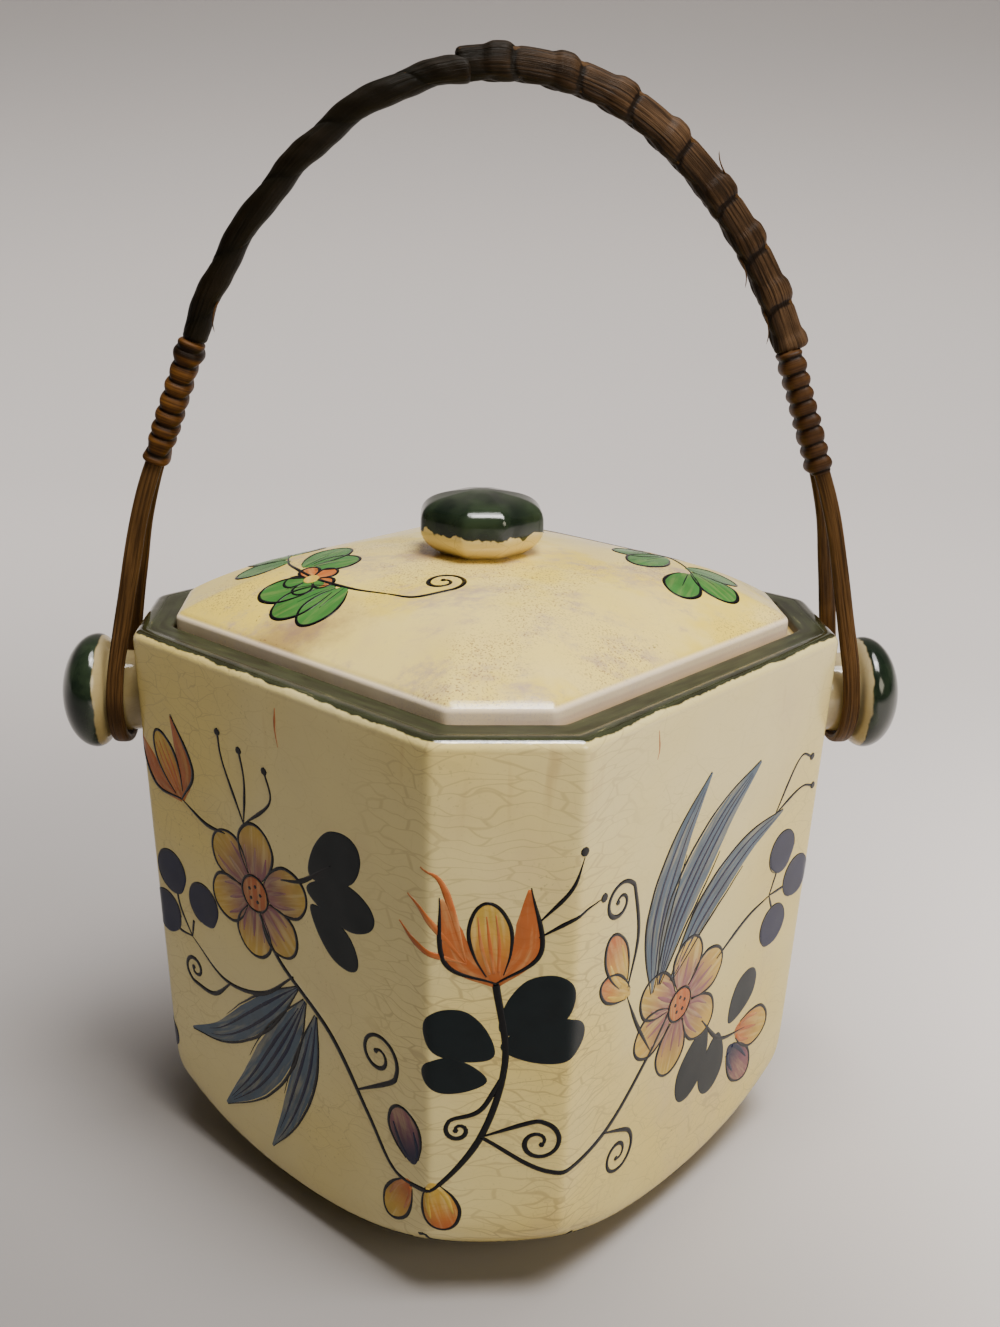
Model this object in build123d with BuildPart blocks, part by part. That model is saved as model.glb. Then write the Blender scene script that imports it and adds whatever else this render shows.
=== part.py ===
from build123d import *
from math import acos, atan2, cos, degrees, hypot, pi, radians, sin, sqrt
import os

# Biscuit jar: a glazed square jar with cut corners, a loose domed lid with a knob, two
# mushroom lugs, and a bail of bent cane that swings on the lugs.
# Frame: millimetres, +Z up, origin in the middle of the foot. The lugs lie on X, and a
# cut corner faces -Y. A "reach" is the distance from the axis to a cut corner, and a
# "half facet" is half the width of that cut corner.

# --- jar body
rim_height = 115.0
rim_reach = 70.0
rim_half_facet = 12.9
base_reach = 65.5
base_half_facet = 12.2
edge_round = 2.8
shoulder_round = 2.2
wall = 5.0
floor_thickness = 5.5
turned_radius = 76.5
base_round = 39.0
foot_height = 2.0
foot_radius = 45.0
foot_width = 5.0
foot_round = 0.8

# --- gallery that the lid sits in
rim_width = 7.7
seat_depth = 2.5
seat_round = 0.7
ledge_width = 4.3
ledge_thickness = 3.0
gallery_height = 6.5

# --- lid
lid_clearance = 1.1
lid_push = 0.8
lid_edge = 4.6
lid_edge_round = 1.1
lid_corner_round = 3.0
lid_rise = 11.5
lid_fullness = 3.0
lid_wall = 4.0
crown_share = 0.14
crown_round = 15.0
flange_clearance = 1.4
flange_wall = 4.0
flange_depth = 6.0
flange_round = 0.8

# --- lid knob
knob_height = 12.9
knob_reach = 12.4
knob_half_facet = 4.2
knob_neck_reach = 8.6
knob_belly_height = 6.4
knob_fullness = 2.4
knob_edge_round = 0.12

# --- lugs
lug_drop = 16.8
neck_root_radius = 7.9
neck_radius = 8.5
neck_length = 7.7
root_sink = 2.0
neck_round = 1.0
cap_radius = 11.7
cap_flare = 2.9
cap_dome = 6.8

# --- bail
cane_width = 3.6
cane_thickness = 1.8
loop_clearance = 0.4
groove_gap = 0.5
bail_height = 120.5
foot_bend = 60.0
leg_lean = 10.0
leg_length = 22.2
knee_bend = 90.0
binding_lean = 19.8
binding_length = 25.5
binding_inset = 0.8
binding_turns = 9
binding_thickness = 0.8
binding_gap = 0.12
shoulder_lean = 50.0
lap_thickness = 1.7
lap_width = 3.0
lap_overrun = 8.0
lap_gap = 0.1
wraps_left = 5
wraps_right = 9
wrap_thickness = 0.9
wrap_width = 4.2
wrap_tilt = 26.0
wrap_gap = 0.12

# --- places that follow from the sizes above
meeting_gap = 0.001
lug_height = rim_height - lug_drop
draft = (rim_reach - base_reach) / (rim_height - foot_height)
lug_reach = rim_reach - draft * lug_drop
base_round_height = foot_height + base_round
base_round_centre = turned_radius - base_round
seat_height = rim_height - seat_depth
ledge_underside = seat_height - ledge_thickness
gallery_bottom = ledge_underside - gallery_height
seat_reach = rim_reach - draft * seat_depth - rim_width
lid_reach = seat_reach - lid_clearance
lid_inset = rim_width + lid_clearance
flange_reach = seat_reach - ledge_width - flange_clearance
edge_height = seat_height + lid_edge
crown_height = edge_height + lid_rise
loop_radius = neck_radius + loop_clearance + cane_thickness / 2
groove_x = lug_reach + neck_length - groove_gap - cane_width / 2


def facet_inside(half_facet, inset):
    """Half facet of an outline whose eight sides all lie one inset further in."""
    return half_facet - inset * (sqrt(2) - 1)


def outline(height, reach, half_facet, corner_round, push=0.0):
    """Square with cut corners at a height, its corners towards X and Y, pushed along -X."""
    corners = [
        (reach, -half_facet), (reach, half_facet), (half_facet, reach), (-half_facet, reach),
        (-reach, half_facet), (-reach, -half_facet), (-half_facet, -reach), (half_facet, -reach),
    ]
    with BuildSketch(Plane((-push, 0, height))) as section:
        Polygon(*corners, align=None)
        fillet(section.vertices(), corner_round)
    return section.sketch


def jar_outline(height, inset):
    """Outline of the drafted jar at a height, moved in by an inset."""
    share = (height - foot_height) / (rim_height - foot_height)
    reach = base_reach + share * (rim_reach - base_reach)
    half_facet = base_half_facet + share * (rim_half_facet - base_half_facet)
    return outline(height, reach - inset, facet_inside(half_facet, inset), edge_round)


def turned_profile(inset):
    """Half profile of the jar's turned, rounded underside, moved in by an inset."""
    radius = base_round - inset
    outside = base_round_centre + radius
    with BuildSketch(Plane.XZ) as profile:
        with BuildLine():
            arc = CenterArc((base_round_centre, base_round_height), radius, -90, 90)
            Polyline(arc @ 1, (outside, rim_height), (0, rim_height), (0, foot_height + inset), arc @ 0)
        make_face()
    return profile.sketch


def lid_outline(height, share):
    """Outline of the lid's dome at a share of its reach, rounder towards the crown."""
    half_facet = facet_inside(rim_half_facet, lid_inset) * share
    corner_round = (lid_corner_round + crown_round * (1 - share)) * share
    return outline(height, lid_reach * share, half_facet, corner_round, lid_push)


def dome_height(share):
    """Height of the lid's top at a share of its reach: nearly flat, then falling to the edge."""
    return edge_height + lid_rise * (1 - share ** lid_fullness)


def flange_outline(height, inset):
    """Outline of the lid's locating flange, moved in by an inset."""
    half_facet = facet_inside(rim_half_facet, rim_reach - flange_reach + inset)
    return outline(height, flange_reach - inset, half_facet, edge_round, lid_push)


def knob_outline(height, reach):
    """Outline of the knob at a height above the lid's crown."""
    half_facet = knob_half_facet * reach / knob_reach
    return outline(crown_height + height, reach, half_facet, knob_edge_round * reach, lid_push)


def swing(centre, radius, lean):
    """Point of the XZ plane at a radius from a centre, in the direction of a lean."""
    return (centre[0] + radius * cos(radians(lean)), centre[1] + radius * sin(radians(lean)))


def rail(offset, bends):
    """Stretch of the bail's line, moved outwards: its bends, joined by straights."""
    with BuildLine() as line:
        end = None
        for centre, radius, lean, next_lean in bends:
            start = Vector(*swing(centre, radius + offset, lean))
            if end is not None and (start - end).length > meeting_gap:
                Line(end, start)
            if next_lean != lean:
                CenterArc(centre, radius + offset, lean, next_lean - lean)
            end = Vector(*swing(centre, radius + offset, next_lean))
    return line.line


def band(inner, outer, bends):
    """Strip of the XZ plane between two offsets of a stretch of the bail's line."""
    inside = rail(inner, bends)
    outside = rail(outer, bends)
    with BuildSketch(Plane.XZ) as strip:
        with BuildLine():
            add(inside)
            add(outside)
            Line(inside @ 0, outside @ 0)
            Line(inside @ 1, outside @ 1)
        make_face()
    return strip.sketch


def loop_contact(across, height, turn):
    """Angle on the loop at which a leg leaves it, for a leg whose top is at (across, height)."""
    above = height - lug_height
    return degrees(atan2(above, across) + turn * acos(loop_radius / hypot(across, above)))


def wrap_tube(outer_edge, bends):
    """Tube that lies round the canes over a stretch of the arch."""
    inner_edge = -cane_width / 2 - wrap_gap
    depth = cane_thickness + wrap_gap
    with BuildPart() as tube:
        shell = band(inner_edge - wrap_thickness, outer_edge + wrap_thickness, bends)
        extrude(shell, amount=depth + wrap_thickness, both=True)
        extrude(band(inner_edge, outer_edge, bends), amount=depth, both=True, mode=Mode.SUBTRACT)
    return tube.part


def arch_plane(run):
    """Tilted plane across the arch, at a run from its apex that is negative on the left."""
    lean = 90 - degrees(min(abs(run), top_run) / top_bend)
    place = swing(top_centre, top_bend, lean)
    if abs(run) > top_run:
        lean = shoulder_lean - degrees((abs(run) - top_run) / side_bend)
        place = swing(side_centre, side_bend, lean)
    hand = 1 if run > 0 else -1
    heading = radians(hand * (lean - 90) + wrap_tilt)
    origin = (hand * place[0], 0, place[1])
    return Plane(origin, x_dir=(0, 1, 0), z_dir=(cos(heading), 0, sin(heading)))


# The bail's line on the right: up from the lug, a foot bend, a straight leg, a knee bend, the
# straight that is bound, a side bend and half of the top bend. A bend is its centre, its radius
# and the lean at its two ends. The side and top bends are as large as makes the line level at
# its apex, on the middle plane.
foot_centre = (groove_x - foot_bend, lug_height)
leg_end = swing(swing(foot_centre, foot_bend, leg_lean), leg_length, leg_lean + 90)
knee_centre = swing(leg_end, -knee_bend, leg_lean)
binding_start = swing(knee_centre, knee_bend, binding_lean)
binding_end = swing(binding_start, binding_length, binding_lean + 90)
steep = radians(binding_lean)
level = radians(shoulder_lean)
rise_left = lug_height + bail_height - binding_end[1]
side_span = cos(steep) - cos(level)
side_rise = sin(level) - sin(steep)
scale = cos(level) * side_rise - side_span * (1 - sin(level))
top_bend = (binding_end[0] * side_rise - side_span * rise_left) / scale
side_bend = (cos(level) * rise_left - (1 - sin(level)) * binding_end[0]) / scale
top_centre = (0, lug_height + bail_height - top_bend)
side_centre = swing(top_centre, top_bend - side_bend, shoulder_lean)
top_run = top_bend * (pi / 2 - level)
arch_run = top_run + side_bend * (level - steep)
foot = (foot_centre, foot_bend, 0, leg_lean)
knee = (knee_centre, knee_bend, leg_lean, binding_lean)
binding_foot = (knee_centre, knee_bend, binding_lean, binding_lean)
side = (side_centre, side_bend, binding_lean, shoulder_lean)
top = (top_centre, top_bend, shoulder_lean, 90)

# The hollow: a drafted room with a turned floor, which narrows to a throat under the rim.
with BuildPart() as hollow:
    throat_inset = rim_width + ledge_width
    loft([jar_outline(foot_height, wall), jar_outline(gallery_bottom, wall)], ruled=True)
    revolve(turned_profile(floor_thickness), axis=Axis.Z, mode=Mode.INTERSECT)
    loft([jar_outline(gallery_bottom, wall), jar_outline(ledge_underside, throat_inset)], ruled=True)
    extrude(jar_outline(ledge_underside, throat_inset), amount=ledge_thickness)
    extrude(jar_outline(seat_height, rim_width), amount=seat_depth)

with BuildPart() as jar_body:
    loft([jar_outline(foot_height, 0), jar_outline(rim_height, 0)], ruled=True)
    revolve(turned_profile(0), axis=Axis.Z, mode=Mode.INTERSECT)
    fillet(jar_body.faces().sort_by(Axis.Z)[-1].outer_wire().edges(), shoulder_round)
    with BuildSketch():
        Circle(foot_radius)
        Circle(foot_radius - foot_width, mode=Mode.SUBTRACT)
    extrude(amount=base_round_height)
    fillet(jar_body.faces().sort_by(Axis.Z)[0].edges(), foot_round)
    add(hollow.part, mode=Mode.SUBTRACT)
    fillet(jar_body.faces().sort_by(Axis.Z)[-1].inner_wires()[0].edges(), seat_round)
jar_body.part.label = "jar_body"

# The lid: a straight edge that sits on the ledge, a dome, and a flange that centres it.
dome_shares = [1.0, 0.92, 0.8, 0.64, 0.46, 0.28, crown_share]
with BuildPart() as lid_hollow:
    inner_share = (flange_reach - flange_wall) / lid_reach
    room_top = dome_height(inner_share) - lid_wall
    room_bottom = seat_height - flange_depth
    extrude(flange_outline(room_bottom, flange_wall), amount=room_top - room_bottom)
    inner_shares = [share * inner_share for share in dome_shares]
    loft([lid_outline(dome_height(share) - lid_wall, share) for share in inner_shares])

with BuildPart() as lid:
    extrude(lid_outline(seat_height, 1), amount=lid_edge)
    loft([lid_outline(dome_height(share), share) for share in dome_shares])
    edge_line = lid.edges().filter_by_position(Axis.Z, edge_height - 0.01, edge_height + 0.01)
    fillet(edge_line, lid_edge_round)
    extrude(flange_outline(seat_height, 0), amount=-flange_depth)
    fillet(lid.faces().sort_by(Axis.Z)[0].edges(), flange_round)
    add(lid_hollow.part, mode=Mode.SUBTRACT)
lid.part.label = "lid"

# The knob: a neck that swells to a cut-corner belly and closes in a low dome.
swell_steps = [0.0, 0.3, 0.6, 0.85, 1.0]
dome_angles = [15, 30, 45, 60, 72, 82]
knob_sections = []
for step in swell_steps:
    swell = step * step * (3 - 2 * step)
    reach = knob_neck_reach + (knob_reach - knob_neck_reach) * swell
    knob_sections.append(knob_outline(knob_belly_height * step, reach))
for angle in dome_angles:
    reach = knob_reach * cos(radians(angle)) ** (2 / knob_fullness)
    rise = (knob_height - knob_belly_height) * sin(radians(angle)) ** (2 / knob_fullness)
    knob_sections.append(knob_outline(knob_belly_height + rise, reach))
with BuildPart() as lid_knob:
    loft(knob_sections)
lid_knob.part.label = "lid_knob"

# A lug: a mushroom turned about X, luted onto the drafted corner facet of the jar.
neck_root = (lug_reach - root_sink, neck_root_radius)
neck_end = (lug_reach + neck_length, neck_radius)
cap_middle = (neck_end[0] + cap_flare, neck_radius)
cap_tip = (cap_middle[0] + cap_dome, 0)
with BuildPart() as lug_right:
    with BuildSketch(Plane((0, 0, lug_height), x_dir=(1, 0, 0), z_dir=(0, -1, 0))) as profile:
        with BuildLine():
            Polyline(cap_tip, (neck_root[0], 0), neck_root, neck_end)
            EllipticalCenterArc(cap_middle, cap_flare, cap_radius - neck_radius, 90)
            EllipticalCenterArc((cap_middle[0], 0), cap_dome, cap_radius)
        make_face()
        fillet(profile.vertices().sort_by_distance(neck_end)[0], neck_round)
    revolve(axis=Axis((0, 0, lug_height), (1, 0, 0)))
    add(jar_body.part, mode=Mode.SUBTRACT)
lug_right.part.label = "lug_right"

with BuildPart() as lug_left:
    mirror(lug_right.part, about=Plane.YZ)
lug_left.part.label = "lug_left"

# The right cane: it hangs on the lug by a loop. Its back leg runs on over the whole arch, and its
# front leg ends inside the binding, as the left cane's does on the other side.
long_y = cane_thickness / 2
short_y = -cane_thickness * 3 / 2
first_contact = loop_contact(short_y, binding_start[1], 1)
last_contact = loop_contact(long_y, binding_start[1], -1) + 360
with BuildPart() as bail_cane_right:
    with BuildSketch(Plane.YZ):
        with BuildLine():
            arc = CenterArc((0, lug_height), loop_radius, first_contact, last_contact - first_contact)
            Polyline(arc @ 0, (short_y, binding_start[1]), (short_y, binding_end[1]))
            Polyline(arc @ 1, (long_y, binding_start[1]), (long_y, binding_end[1]))
        trace(line_width=cane_thickness)
    extrude(amount=lug_reach + neck_length)
    with BuildSketch(Plane.XZ):
        add(band(-cane_width / 2, cane_width / 2, [foot, knee, side]))
        with Locations((groove_x, lug_height)):
            Rectangle(cane_width, 2 * loop_radius, align=(Align.CENTER, Align.MAX))
    extrude(amount=lug_reach, both=True, mode=Mode.INTERSECT)
    with BuildSketch(Plane.XZ):
        add(band(-cane_width / 2, cane_width / 2, [binding_foot, side, top]))
        mirror(about=Plane.YZ)
    extrude(amount=-cane_thickness)
bail_cane_right.part.label = "bail_cane_right"

# The left cane is the right one turned half round, so the two lie back to back on the arch.
with BuildPart() as bail_cane_left:
    add(bail_cane_right.part, rotation=(0, 0, 180))
bail_cane_left.part.label = "bail_cane_left"

# A third cane doubles the arch on its outer side, from the right binding to just past the apex.
lap_edge = cane_width / 2 + lap_gap + lap_thickness
past_apex = (top_centre, top_bend, shoulder_lean, 90 + degrees(lap_overrun / top_bend))
with BuildPart() as bail_lap_cane:
    extrude(band(lap_edge - lap_thickness, lap_edge, [side, past_apex]), amount=lap_width / 2, both=True)
bail_lap_cane.part.label = "bail_lap_cane"

# Strips of cane wrapped round the arch, as tilted rings cut from a tube that fits the canes.
left_pitch = (arch_run - lap_overrun) / wraps_left
right_pitch = (arch_run + lap_overrun) / wraps_right
wrap_runs = [(turn + 0.5) * left_pitch - arch_run for turn in range(wraps_left)]
wrap_runs += [arch_run - (turn + 0.5) * right_pitch for turn in range(wraps_right)]
before_apex = (top_centre, top_bend, shoulder_lean, 90 - degrees(lap_overrun / top_bend))
with BuildPart() as grip_wrap:
    add(wrap_tube(lap_edge + wrap_gap, [side, past_apex]))
    mirror(wrap_tube(cane_width / 2 + wrap_gap, [side, before_apex]), about=Plane.YZ)
    with BuildSketch(*[arch_plane(run) for run in wrap_runs]):
        Rectangle(4 * lap_edge, 4 * lap_edge)
    extrude(amount=wrap_width / 2, both=True, mode=Mode.INTERSECT)
grip_wrap.part.label = "grip_wrap"

# Fine cane bound round the three layers of each side, as one ring to a turn.
turn_pitch = (binding_length - 2 * binding_inset) / binding_turns
stack_width = cane_width + 2 * binding_gap
stack_depth = 3 * cane_thickness + 2 * binding_gap
turn_planes = []
for turn in range(binding_turns):
    place = swing(binding_start, binding_inset + turn * turn_pitch, binding_lean + 90)
    across = (cos(steep), 0, sin(steep))
    turn_planes.append(Plane((place[0], -cane_thickness / 2, place[1]), across, (-across[2], 0, across[0])))
with BuildPart() as binding_right:
    with BuildSketch(*turn_planes):
        Rectangle(stack_width + 2 * binding_thickness, stack_depth + 2 * binding_thickness)
        Rectangle(stack_width, stack_depth, mode=Mode.SUBTRACT)
    extrude(amount=turn_pitch - binding_gap)
binding_right.part.label = "binding_right"

with BuildPart() as binding_left:
    add(binding_right.part, rotation=(0, 0, 180))
binding_left.part.label = "binding_left"

os.makedirs("parts", exist_ok=True)
pieces = [
    jar_body, lug_left, lug_right, lid, lid_knob, bail_cane_left, bail_cane_right,
    bail_lap_cane, grip_wrap, binding_left, binding_right,
]
for piece in pieces:
    export_step(piece.part, f"parts/{piece.part.label}.step")
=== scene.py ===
import logging
import math
from dataclasses import dataclass, field, replace
from enum import Enum
from typing import Any, Callable, Optional, Sequence, Union

import bpy
import numpy as np
from mathutils import Matrix


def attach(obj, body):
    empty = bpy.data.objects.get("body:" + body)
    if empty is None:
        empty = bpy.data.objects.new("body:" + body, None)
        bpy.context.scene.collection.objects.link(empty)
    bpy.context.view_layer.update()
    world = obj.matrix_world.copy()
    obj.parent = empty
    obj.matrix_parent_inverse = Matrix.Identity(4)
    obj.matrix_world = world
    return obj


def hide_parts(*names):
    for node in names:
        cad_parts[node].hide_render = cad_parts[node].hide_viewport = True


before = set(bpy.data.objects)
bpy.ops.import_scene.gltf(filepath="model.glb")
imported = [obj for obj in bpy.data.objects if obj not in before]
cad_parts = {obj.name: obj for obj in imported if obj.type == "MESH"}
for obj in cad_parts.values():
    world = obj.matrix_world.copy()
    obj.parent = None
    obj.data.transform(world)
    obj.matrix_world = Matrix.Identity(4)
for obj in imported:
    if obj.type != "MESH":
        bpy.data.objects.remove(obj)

Array = np.ndarray
Colour = tuple[float, float, float]
Value = Union["Wire", float, Sequence[float]]
Point = Sequence[float]
Points = Sequence[Point]
Hull = Callable[[Array], Array]
Swell = Callable[[Array, Array], tuple[Array, Array]]

# Shapes are in millimetres and become metres when a mesh is made. Finishes read metres.
METRES = 0.001
HALF_TURN, FULL_TURN = math.pi, 2 * math.pi

log = logging.getLogger("biscuit_jar")


class Side(Enum):
    """The two sides of the jar that carry a lug."""

    RIGHT = 1
    LEFT = -1

    def turned(self, points: Array) -> Array:
        """Points of the right side, turned half round Z for the left side."""
        return points * np.array([self.value, self.value, 1.0])


# ---- shader expressions


def joining(operation: str, swapped: bool = False) -> Callable[["Wire", Value], "Wire"]:
    """A method of Wire for one Python operator.

    Args:
        operation: The Math node's operation.
        swapped: Whether the other value comes first, as in the operator's reflected form.

    Returns:
        The method.
    """

    def join(self: "Wire", other: Value) -> "Wire":
        """The two values joined by the operation."""
        return self.math(operation, *((other, self) if swapped else (self, other)))

    return join


class Wire:
    """One output of a shader node, which Python operators join to other outputs and numbers."""

    __add__, __radd__ = joining("ADD"), joining("ADD", True)
    __sub__, __rsub__ = joining("SUBTRACT"), joining("SUBTRACT", True)
    __mul__, __rmul__ = joining("MULTIPLY"), joining("MULTIPLY", True)
    largest = joining("MAXIMUM")

    def __init__(self, recipe: "Recipe", socket: bpy.types.NodeSocket) -> None:
        """Keeps the recipe that the output belongs to, and its socket."""
        self.recipe = recipe
        self.socket = socket

    def __abs__(self) -> "Wire":
        """Size without its sign."""
        return self.math("ABSOLUTE", self)

    def math(self, operation: str, *values: Value) -> "Wire":
        """A Math node of one operation on some values."""
        return self.recipe.node("ShaderNodeMath", {"operation": operation}, dict(enumerate(values)))

    def above(self, low: Value, high: Value) -> "Wire":
        """Soft step from 0 at the low value to 1 at the high one."""
        inputs = {"Value": self, "From Min": low, "From Max": high}
        return self.recipe.node("ShaderNodeMapRange", {"interpolation_type": "SMOOTHSTEP"}, inputs)

    def below(self, low: Value, high: Value) -> "Wire":
        """Soft step from 1 at the low value to 0 at the high one."""
        return 1 - self.above(low, high)


class Recipe:
    """A material under construction, with one method that makes its nodes."""

    def __init__(self, name: str) -> None:
        """Makes an empty material.

        Args:
            name: The material's name.
        """
        self.material = bpy.data.materials.new(name)
        self.material.use_nodes = True
        self.tree = self.material.node_tree
        self.tree.nodes.clear()

    def node(self, kind: str, settings: dict[str, Any], inputs: dict[Any, Value], output: Any = 0) -> Wire:
        """Makes one node.

        Args:
            kind: The node's type.
            settings: Its settings, which are set first; a ramp's stops go under "stops".
            inputs: Values or wires for its sockets, by name or number.
            output: The output that is handed back, by name or number.

        Returns:
            The chosen output.
        """
        made = self.tree.nodes.new(kind)
        for key, value in settings.items():
            if key == "stops":
                self.set_stops(made.color_ramp, value)
            else:
                setattr(made, key, value)
        for key, value in inputs.items():
            if isinstance(value, Wire):
                self.tree.links.new(value.socket, made.inputs[key])
            else:
                made.inputs[key].default_value = value
        return Wire(self, made.outputs[output])

    @staticmethod
    def set_stops(ramp: bpy.types.ColorRamp, stops: Sequence[tuple[float, Colour]]) -> None:
        """Gives a ramp its stops, each a position and a colour.

        Args:
            ramp: The ramp.
            stops: Position and colour of each stop.
        """
        while len(ramp.elements) < len(stops):
            ramp.elements.new(1.0)
        for element, (position, colour) in zip(ramp.elements, stops):
            element.position = position
            element.color = (*colour, 1.0)

    def place(self) -> Wire:
        """Object coordinates, in metres."""
        return self.node("ShaderNodeTexCoord", {}, {}, "Object")

    def sheet(self) -> Wire:
        """The piece's own UV coordinates, in millimetres."""
        return self.node("ShaderNodeUVMap", {"uv_map": "sheet"}, {}, "UV")

    def split(self, vector: Wire) -> tuple[Wire, Wire, Wire]:
        """The three parts of a vector.

        Args:
            vector: The vector.

        Returns:
            Its parts.
        """
        first = self.node("ShaderNodeSeparateXYZ", {}, {0: vector}, 0)
        outputs = first.socket.node.outputs
        return first, Wire(self, outputs[1]), Wire(self, outputs[2])

    def joined(self, x: Value, y: Value, z: Value = 0.0) -> Wire:
        """A vector from three values."""
        return self.node("ShaderNodeCombineXYZ", {}, {0: x, 1: y, 2: z})

    def scaled(self, vector: Wire, scale: Sequence[float], shift: Sequence[float] = (0, 0, 0)) -> Wire:
        """A vector scaled along each axis and then shifted."""
        inputs = {0: vector, 1: scale, 2: shift}
        return self.node("ShaderNodeVectorMath", {"operation": "MULTIPLY_ADD"}, inputs)

    def noise(self, vector: Wire, scale: float, detail: float = 2.0, roughness: float = 0.5,
              output: str = "Fac") -> Wire:
        """Noise of a scale and detail, as a value or a colour."""
        inputs = {"Vector": vector, "Scale": scale, "Detail": detail, "Roughness": roughness}
        return self.node("ShaderNodeTexNoise", {}, inputs, output)

    def cracks(self, vector: Wire, scale: float) -> Wire:
        """Distance to the nearest border of a net of cells."""
        inputs = {"Vector": vector, "Scale": scale}
        return self.node("ShaderNodeTexVoronoi", {"feature": "DISTANCE_TO_EDGE"}, inputs)

    def warped(self, vector: Wire, scale: float, amount: float) -> Wire:
        """A vector pushed about by noise, by up to half an amount each way.

        Args:
            vector: The vector.
            scale: Scale of the noise.
            amount: How far apart it pushes.

        Returns:
            The pushed vector.
        """
        push = self.noise(vector, scale, 2.0, output="Color")
        pushed = self.scaled(push, (amount,) * 3, (-amount / 2,) * 3)
        return self.node("ShaderNodeVectorMath", {"operation": "ADD"}, {0: vector, 1: pushed})

    def mix(self, share: Value, first: Value, second: Value, blend: str = "MIX") -> Wire:
        """Colour mixed from the first to the second by a share.

        Args:
            share: Share of the second.
            first: First colour.
            second: Second colour.
            blend: How they blend.

        Returns:
            The colour.
        """
        colours = [(*c, 1.0) if isinstance(c, tuple) and len(c) == 3 else c for c in (first, second)]
        inputs = {0: share, 6: colours[0], 7: colours[1]}
        return self.node("ShaderNodeMix", {"data_type": "RGBA", "blend_type": blend}, inputs, 2)

    def bump(self, height: Wire, depth: float, normal: Optional[Wire] = None) -> Wire:
        """Normal bent by a height from 0 to 1 that stands for a depth in metres.

        Args:
            height: The height.
            depth: The depth.
            normal: Normal that it bends, if not the surface's own.

        Returns:
            The bent normal.
        """
        inputs: dict[Any, Value] = {"Height": height, "Distance": depth, "Strength": 1.0}
        if normal is not None:
            inputs["Normal"] = normal
        return self.node("ShaderNodeBump", {}, inputs)

    def finish(self, colour: Value, roughness: Value, normal: Optional[Wire] = None,
               **constants: float) -> bpy.types.Material:
        """Ends the material in one shader.

        Args:
            colour: Base colour.
            roughness: Roughness.
            normal: Normal, if it is bent.
            constants: Numbers for other sockets, with _ for a space in the socket's name.

        Returns:
            The finished material.
        """
        inputs: dict[Any, Value] = {"Base Color": colour, "Roughness": roughness}
        inputs.update({name.replace("_", " "): value for name, value in constants.items()})
        if normal is not None:
            inputs["Normal"] = normal
        shader = self.node("ShaderNodeBsdfPrincipled", {}, inputs)
        end = self.tree.nodes.new("ShaderNodeOutputMaterial")
        self.tree.links.new(shader.socket, end.inputs["Surface"])
        return self.material


# ---- surfaces


@dataclass
class Skin:
    """A closed surface: its points, its faces, and a pair of sheet coordinates for every face corner."""

    points: Array
    quads: Array
    triangles: Array
    quad_sheet: Array
    triangle_sheet: Array
    paint: Array

    def orient(self, side: Side) -> "Skin":
        """The same skin on a side of the jar."""
        return replace(self, points=side.turned(self.points))


def skin_rings(rings: Array, around: Array, along: Array, paint: Optional[Array] = None,
               lengthwise: bool = False) -> Skin:
    """Skin over a stack of closed rings, with each end drawn together to one point.

    Point (i, j) is the j-th point of ring i. A quad joins (i, j), (i, j+1), (i+1, j+1) and
    (i+1, j), with j+1 taken round. The first and last rings are closed by fans.

    Args:
        rings: Points, as rings x points x 3.
        around: Sheet coordinate round a ring, one more than its points.
        along: Sheet coordinate of each ring.
        paint: Colour and load of each point, as rings x points x 4.
        lengthwise: Whether the sheet's first coordinate is the one along the rings.

    Returns:
        The closed skin.
    """
    count, size = rings.shape[:2]
    index = np.arange(count * size).reshape(count, size)
    following = np.roll(index, -1, axis=1)
    quads = np.stack([index[:-1], following[:-1], following[1:], index[1:]], axis=-1).reshape(-1, 4)
    poles = np.full(size, count * size)
    first = np.stack([poles, following[0], index[0]], axis=-1)
    last = np.stack([index[-1], following[-1], poles + 1], axis=-1)
    left, right = np.tile(around[:-1], (count, 1)), np.tile(around[1:], (count, 1))
    up = np.tile(along[:, None], (1, size))
    corners = [(left[:-1], up[:-1]), (right[:-1], up[:-1]), (right[1:], up[1:]), (left[1:], up[1:])]
    quad_sheet = np.stack([np.stack(pair, axis=-1) for pair in corners], axis=2).reshape(-1, 4, 2)
    middle = (left[0] + right[0]) / 2
    first_sheet = np.stack([np.stack([u, up[0]], axis=-1) for u in (middle, right[0], left[0])], axis=1)
    last_sheet = np.stack([np.stack([u, up[-1]], axis=-1) for u in (left[0], right[0], middle)], axis=1)
    end_sheets = np.concatenate([first_sheet, last_sheet])
    if lengthwise:
        quad_sheet, end_sheets = quad_sheet[..., ::-1], end_sheets[..., ::-1]
    ends = np.stack([rings[0].mean(axis=0), rings[-1].mean(axis=0)])
    if paint is None:
        paint = np.ones((count, size, 4))
    end_paint = np.stack([paint[0].mean(axis=0), paint[-1].mean(axis=0)])
    return Skin(
        np.concatenate([rings.reshape(-1, 3), ends]), quads, np.concatenate([first, last]), quad_sheet,
        end_sheets, np.concatenate([paint.reshape(-1, 4), end_paint]),
    )


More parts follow.
